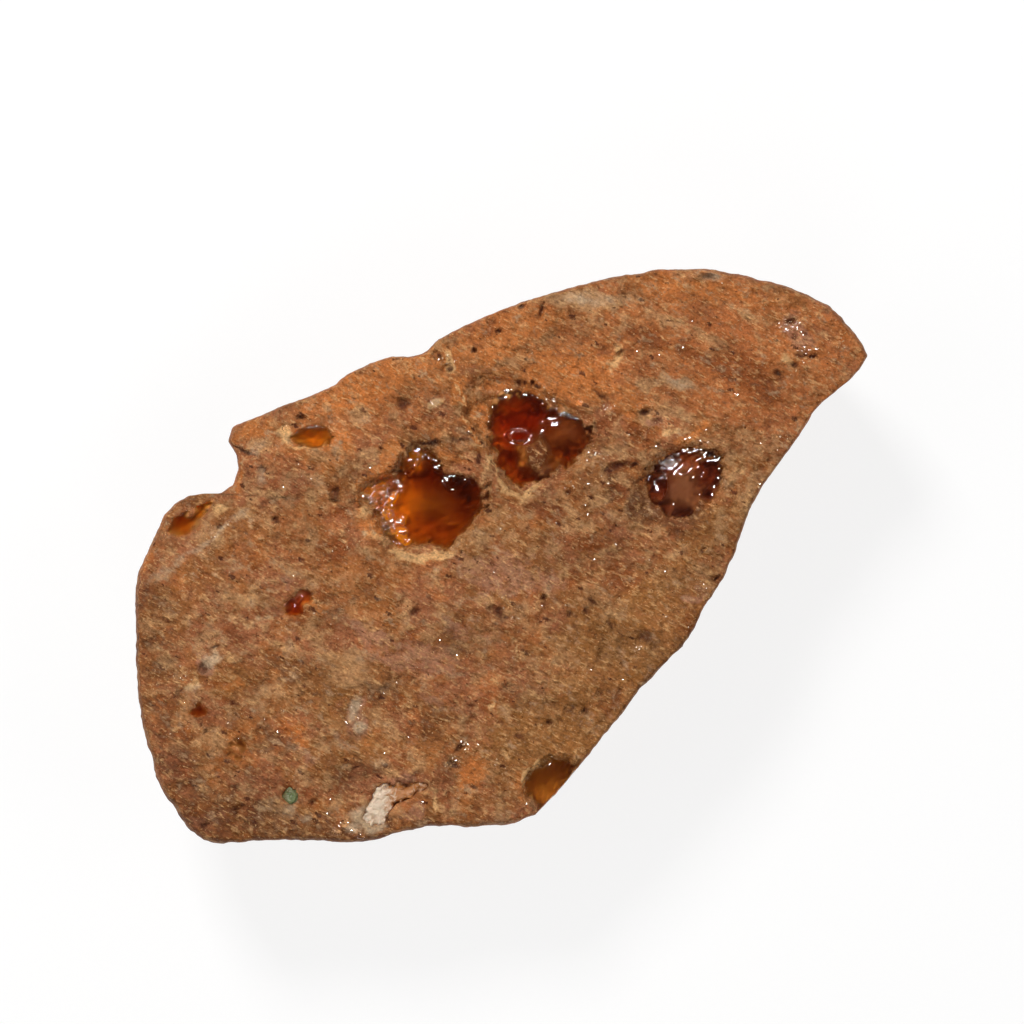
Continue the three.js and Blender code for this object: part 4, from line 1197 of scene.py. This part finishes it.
def rock_piece(settings):
    """The stone: its face as a disc grid under a height field, a wall of rows from the widest level down to
    the back, each row the outline at the share of the reach that the frame has there, and a flat back."""
    stone = StoneShape()
    nodules = [Nodule(name) for name in NODULE_NAMES]
    cells = settings.cells
    rings = cells // 2
    flat_rings = rings - EDGE_RINGS
    turn = np.linspace(0, math.pi / 2, EDGE_RINGS + 1)[1:]
    ring_share = np.append(
        np.linspace(0, 1 - EDGE_SHARE, flat_rings + 1), 1 - EDGE_SHARE + EDGE_SHARE * np.sin(turn),
    )
    plan = disc_points(stone.rim, cells, ring_share)
    face = np.column_stack([plan, rock_height(plan, stone, nodules, settings)])

    border = border_row(cells)
    loop = plan[border]
    tangent = np.roll(loop, -1, axis=0) - np.roll(loop, 1, axis=0)
    outward = np.column_stack([tangent[:, 1], -tangent[:, 0]]) / np.linalg.norm(tangent, axis=1)[:, None]
    depth = np.linspace(0, 1, WALL_ROWS + 1)[1:]
    heights = stone.level * (1 - depth) ** WALL_POWER
    shares = [stone.wall_share(max(height, 0.02)) for height in heights]
    start = face[border, 2]
    walls = np.stack([
        np.column_stack([
            stone.rim.centre + share * (loop - stone.rim.centre), start * (1 - step) ** WALL_POWER,
        ])
        for share, step in zip(shares, depth)
    ])
    lean = smooth_step(0.0, 0.12, depth) * smooth_step(1.0, 0.9, depth)
    relief = wall_relief(walls.reshape(-1, 3)).reshape(len(depth), -1)
    walls[:, :, :2] += (lean[:, None] * relief)[:, :, None] * outward
    back = walls[-1] * (BACK_RING, BACK_RING, 0) + np.append(stone.rim.centre * (1 - BACK_RING), 0)
    points = np.vstack([face, walls.reshape(-1, 3), back, [[*stone.rim.centre, 0]]])

    count = len(border)
    rows = len(face) + np.arange((WALL_ROWS + 1) * count).reshape(-1, count)
    rows = np.vstack([border, rows])
    hub = np.full(count, len(points) - 1)
    fan = np.column_stack([rows[-1], hub, np.roll(rows[-1], -1)])
    faces = grid_quads(cells).tolist() + wall_quads(rows).tolist() + fan.tolist()

    plan = points[:, :2]
    spots = flat(plan)
    bend = np.column_stack([rough_noise(spots, 1.5, 3, 51), rough_noise(spots, 1.5, 3, 54)])
    bent = plan + STAIN_BEND * bend
    still = np.zeros(len(plan))
    upper = smooth_step(stone.level - 5, stone.level - 1, points[:, 2])
    inside = still.copy()
    for nodule in nodules:
        near = np.flatnonzero(nodule.rim.share(face[:, :2]) < POCKET_SHARE)
        cover = skin_height(nodule, plan[near], stone) - points[near, 2]
        inside[near] = np.maximum(inside[near], smooth_step(0.0, FLOOR_COVER, cover))
    marks = {
        "orange": ORANGE_PATCHES, "pale": PALE_PATCHES, "rust": RUST_PATCHES, "lilac": LILAC_PATCHES,
        "cream_and_highlight": CREAM_AND_HIGHLIGHT_PATCHES, "red": RED_REGIONS, "ochre": OCHRE_REGIONS, "umber_and_shade": UMBER_AND_SHADE_REGIONS,
    }
    attributes = {key: upper * patches(bent, table, still, STAIN_SOFT) for key, table in marks.items()}
    for key, table, share in (("dark", DARK_SPOTS, DARK_BEND), ("chalk", CHALK_PATCHES, CHALK_BEND)):
        attributes[key] = upper * patches(plan + share * bend, table, still, MARK_SOFT)
    attributes["floor"] = inside
    floors = {"glow": FLOOR_GLOW, "painted_gold_glint": PAINTED_GOLD_GLINTS, "smoke": FLOOR_SMOKE, "haze": FLOOR_HAZE}
    for key, table in floors.items():
        attributes[key] = inside * patches(plan, table, still, FLOOR_SOFT)
    piece = new_piece("rhyolite_stone", points, faces, ground_rhyolite(settings), attributes)
    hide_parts(STONE)


def nodule_piece(name, material, cells):
    """A nodule: its skin over a bowl that reaches a little into the rock all round, so that no air is left
    between them."""
    stone = StoneShape()
    nodule = Nodule(name)
    grown = 1 + NODULE_OVERLAP / nodule.reach
    rim = Rim(nodule.rim.spaced(4 * cells)[:-1], nodule.rim.centre)
    rim.reach = rim.reach * grown

    def over(plan, share):
        return skin_height(nodule, plan, stone)

    def under(plan, share):
        edge = skin_height(nodule, plan, stone)
        bowl = nodule.level - (nodule.level - nodule.foot) * np.sqrt(1 - share**2)
        return np.minimum(bowl, edge - BOWL_GAP) - BOWL_SINK * np.sqrt(1 - share**2)

    points, faces = lens(rim, cells, over, under)
    piece = new_piece(name + "_nodule", points, faces.tolist(), material)
    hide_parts(name)


def chip_pieces(rock, opals):
    """Small chips of clear opal, each a lens with an elliptic rim, half sunk in the rock."""
    stone = StoneShape()
    nodules = [Nodule(name) for name in NODULE_NAMES]
    turn = np.linspace(0, 2 * math.pi, CHIP_STEPS + 1)[:-1]
    parts = []
    corners = []
    for x, y, length, width, angle in EDGE_CHIPS:
        along = length * np.cos(turn)
        across = width * np.sin(turn)
        cosine = math.cos(math.radians(angle))
        sine = math.sin(math.radians(angle))
        outline = np.column_stack([x + along * cosine - across * sine, y + along * sine + across * cosine])
        level = rock_height(np.array([[x, y]]), stone, nodules, rock)[0]

        def over(plan, share, level=level, rise=CHIP_RISE * width):
            return level + rise * np.sqrt(1 - share**2) + 0.05 * lattice_noise(flat(plan), 0.3, 61)

        def under(plan, share, level=level, sink=CHIP_SINK * width):
            return level - sink * np.sqrt(1 - share**2)

        points, faces = lens(Rim(outline, (x, y)), CHIP_CELLS, over, under)
        corners.append(faces + sum(len(part) for part in parts))
        parts.append(points)
    material = clear_opal("hyalite_glass", np.array(opals.milk), opals.depth, opals.roughness)
    piece = new_piece("hyalite_chips", np.vstack(parts), np.vstack(corners).tolist(), material)


def quartz_piece(rock, stage):
    """Quartz grains: octahedra of random size, in clusters and thinly over the face, each half sunk in the
    rock at its place, with one facet turned nearly so that it throws the light of a small lamp to the
    camera."""
    stone = StoneShape()
    nodules = [Nodule(name) for name in NODULE_NAMES]
    rng = np.random.default_rng(GRAIN_SEED)
    clustered = [
        rng.normal((x, y), half_width / 1.6, size=(count, 2)) for x, y, half_width, count in QUARTZ_CLUSTERS
    ]
    low = stone.rim.centre - GRAIN_FIELD
    scattered = rng.uniform(low, low + 2 * GRAIN_FIELD, size=(GRAIN_COUNT, 2))
    scattered = scattered[stone.rim.share(scattered) < GRAIN_LIMIT]
    richness = rough_noise(flat(scattered), 3.0, 2, 72)
    scattered = scattered[richness > rng.uniform(-0.3, 0.7, len(scattered))]
    plan = np.vstack([*clustered, scattered])
    clear = np.all([nodule.rim.share(plan) > GRAIN_CLEARANCE for nodule in nodules], axis=0)
    plan = plan[clear]
    middle = np.column_stack([plan, rock_height(plan, stone, nodules, rock)])
    count = len(middle)
    sizes = rng.uniform(*GRAIN_SIZES, (count, 1)) * rng.uniform(*GRAIN_STRETCH, (count, 3))
    shape = np.array([[1, 0, 0], [-1, 0, 0], [0, 1, 0], [0, -1, 0], [0, 0, 1], [0, 0, -1]], dtype=float)
    lamps = spark_places(stage)[rng.integers(len(SPARKS), size=count)]
    toward = unit(lamps - middle) + unit(eye_place(stage) - middle)
    toward = unit(unit(toward) + rng.normal(0, GRAIN_TILT, (count, 3)))
    turns = np.einsum("nij,nkj->nik", axes_along(toward, rng), axes_along(unit(1 / sizes), rng))
    points = middle[:, None, :] + np.einsum("nij,nkj->nki", turns, shape[None] * sizes[:, None, :])
    corners = np.array([
        [0, 2, 4], [2, 1, 4], [1, 3, 4], [3, 0, 4], [2, 0, 5], [1, 2, 5], [3, 1, 5], [0, 3, 5],
    ])
    faces = (corners[None] + 6 * np.arange(count)[:, None, None]).reshape(-1, 3)
    piece = new_piece("quartz_grains", points.reshape(-1, 3), faces.tolist(), rock_quartz(rock))
    piece.data.shade_flat()


def area_light(name, power, size, place, target, glints=False):
    """A square lamp that faces a target, with its place and size in millimetres. A lamp for glints shows in
    reflections only, and any other one is left out of them, as a lamp behind a polarising sheet is."""
    data = bpy.data.lights.new(name, "AREA")
    data.energy = power
    data.size = size * MM
    data.color = LAMP_WHITE
    lamp = bpy.data.objects.new(name, data)
    lamp.visible_glossy = glints
    lamp.visible_diffuse = not glints
    lamp.visible_transmission = not glints
    away = np.subtract(place, target)
    lamp.location = np.array(place) * MM
    lamp.rotation_euler = (math.acos(away[2] / np.linalg.norm(away)), 0, math.atan2(away[0], -away[1]))
    bpy.context.scene.collection.objects.link(lamp)


class SPECIMEN_OT_rock(bpy.types.Operator):
    """Build the rhyolite with its ground face, shelves, pockets and holes"""

    bl_idname = "specimen.rock"
    bl_label = "Rhyolite"

    def execute(self, context):
        rock_piece(context.scene.specimen_rock)
        return {"FINISHED"}


class SPECIMEN_OT_clear_opals(bpy.types.Operator):
    """Build the clear opals: three large nodules and six small ones"""

    bl_idname = "specimen.clear_opals"
    bl_label = "Clear opals"

    def execute(self, context):
        opals = context.scene.specimen_opals
        for rows, cells in ((LARGE_OPALS, LARGE_CELLS), (SMALL_OPALS, SMALL_CELLS)):
            for name, slot, tint in rows:
                body = np.array(getattr(opals, tint))
                material = clear_opal(f"{name}_glass", body, opals.depth, opals.roughness)
                nodule_piece(name, material, cells)
        return {"FINISHED"}


class SPECIMEN_OT_cloudy_opals(bpy.types.Operator):
    """Build the cloudy white and green opals at the lower edge"""

    bl_idname = "specimen.cloudy_opals"
    bl_label = "Cloudy opals"

    def execute(self, context):
        opals = context.scene.specimen_opals
        for name, slot, milk, stain, *ends in CLOUDY_OPALS:
            material = cloudy_opal(f"{name}_cloud", getattr(opals, milk), getattr(opals, stain), *ends)
            nodule_piece(name, material, SMALL_CELLS)
        return {"FINISHED"}


class SPECIMEN_OT_crystals(bpy.types.Operator):
    """Build the quartz grains and the small chips of clear opal"""

    bl_idname = "specimen.crystals"
    bl_label = "Quartz and chips"

    def execute(self, context):
        scene = context.scene
        quartz_piece(scene.specimen_rock, scene.specimen_stage)
        chip_pieces(scene.specimen_rock, scene.specimen_opals)
        return {"FINISHED"}


class SPECIMEN_OT_stage(bpy.types.Operator):
    """Set up the floor, the lamps and the camera over the stone"""

    bl_idname = "specimen.stage"
    bl_label = "Stage"

    def execute(self, context):
        scene = context.scene
        stage = scene.specimen_stage
        corners = FLOOR_HALF * np.array([[-1, -1, 0], [1, -1, 0], [1, 1, 0], [-1, 1, 0]])
        mesh = bpy.data.meshes.new("floor")
        mesh.from_pydata(corners * MM, [], [[0, 1, 2, 3]])
        mesh.materials.append(light_table(stage))
        floor = bpy.data.objects.new("floor", mesh)
        scene.collection.objects.link(floor)

        centre = np.append(np.array(stage.view_centre) / MM, 0)
        middle = centre + (0, 0, LAMP_TARGET)
        area_light("key", stage.key_power, KEY_SIZE, centre + KEY_PLACE, middle)
        for name, place in FILLS.items():
            area_light(name, stage.fill_power, FILL_SIZE, centre + place, middle)
        for number, place in enumerate(spark_places(stage)):
            area_light(f"spark_{number}", stage.spark_power, SPARK_SIZE, place, middle, True)
        world = bpy.data.worlds.new("soft_sky")
        world.use_nodes = True
        sky = world.node_tree.nodes["Background"]
        sky.inputs["Color"].default_value = (1, 1, 1, 1)
        sky.inputs["Strength"].default_value = stage.sky
        scene.world = world
        scene.view_settings.view_transform = "Standard"

        camera = bpy.data.objects.new("camera", bpy.data.cameras.new("camera"))
        camera.data.lens = stage.lens
        camera.data.sensor_width = SENSOR_WIDTH
        camera.data.clip_start = MM
        camera.location = eye_place(stage) * MM
        scene.collection.objects.link(camera)
        scene.camera = camera
        return {"FINISHED"}


class SPECIMEN_PT_panel(bpy.types.Panel):
    """Steps of the build, with the settings of each"""

    bl_label = "Opal in matrix"
    bl_idname = "SPECIMEN_PT_panel"
    bl_space_type = "VIEW_3D"
    bl_region_type = "UI"
    bl_category = "Specimen"

    def draw(self, context):
        for operator in OPERATORS:
            self.layout.operator(operator.bl_idname)
        for name in GROUPS:
            group = getattr(context.scene, name)
            box = self.layout.box()
            for key in group.__annotations__:
                box.prop(group, key)


GROUPS = {"specimen_rock": RockSettings, "specimen_opals": OpalSettings, "specimen_stage": StageSettings}
OPERATORS = (
    SPECIMEN_OT_rock, SPECIMEN_OT_clear_opals, SPECIMEN_OT_cloudy_opals, SPECIMEN_OT_crystals,
    SPECIMEN_OT_stage,
)


def register():
    for name, group in GROUPS.items():
        bpy.utils.register_class(group)
        setattr(bpy.types.Scene, name, PointerProperty(type=group))
    for operator in OPERATORS:
        bpy.utils.register_class(operator)
    bpy.utils.register_class(SPECIMEN_PT_panel)


def unregister():
    bpy.utils.unregister_class(SPECIMEN_PT_panel)
    for operator in reversed(OPERATORS):
        bpy.utils.unregister_class(operator)
    for name, group in GROUPS.items():
        delattr(bpy.types.Scene, name)
        bpy.utils.unregister_class(group)


def main():
    register()
    bpy.ops.specimen.rock()
    bpy.ops.specimen.clear_opals()
    bpy.ops.specimen.cloudy_opals()
    bpy.ops.specimen.crystals()
    bpy.ops.specimen.stage()


if __name__ == "__main__":
    main()
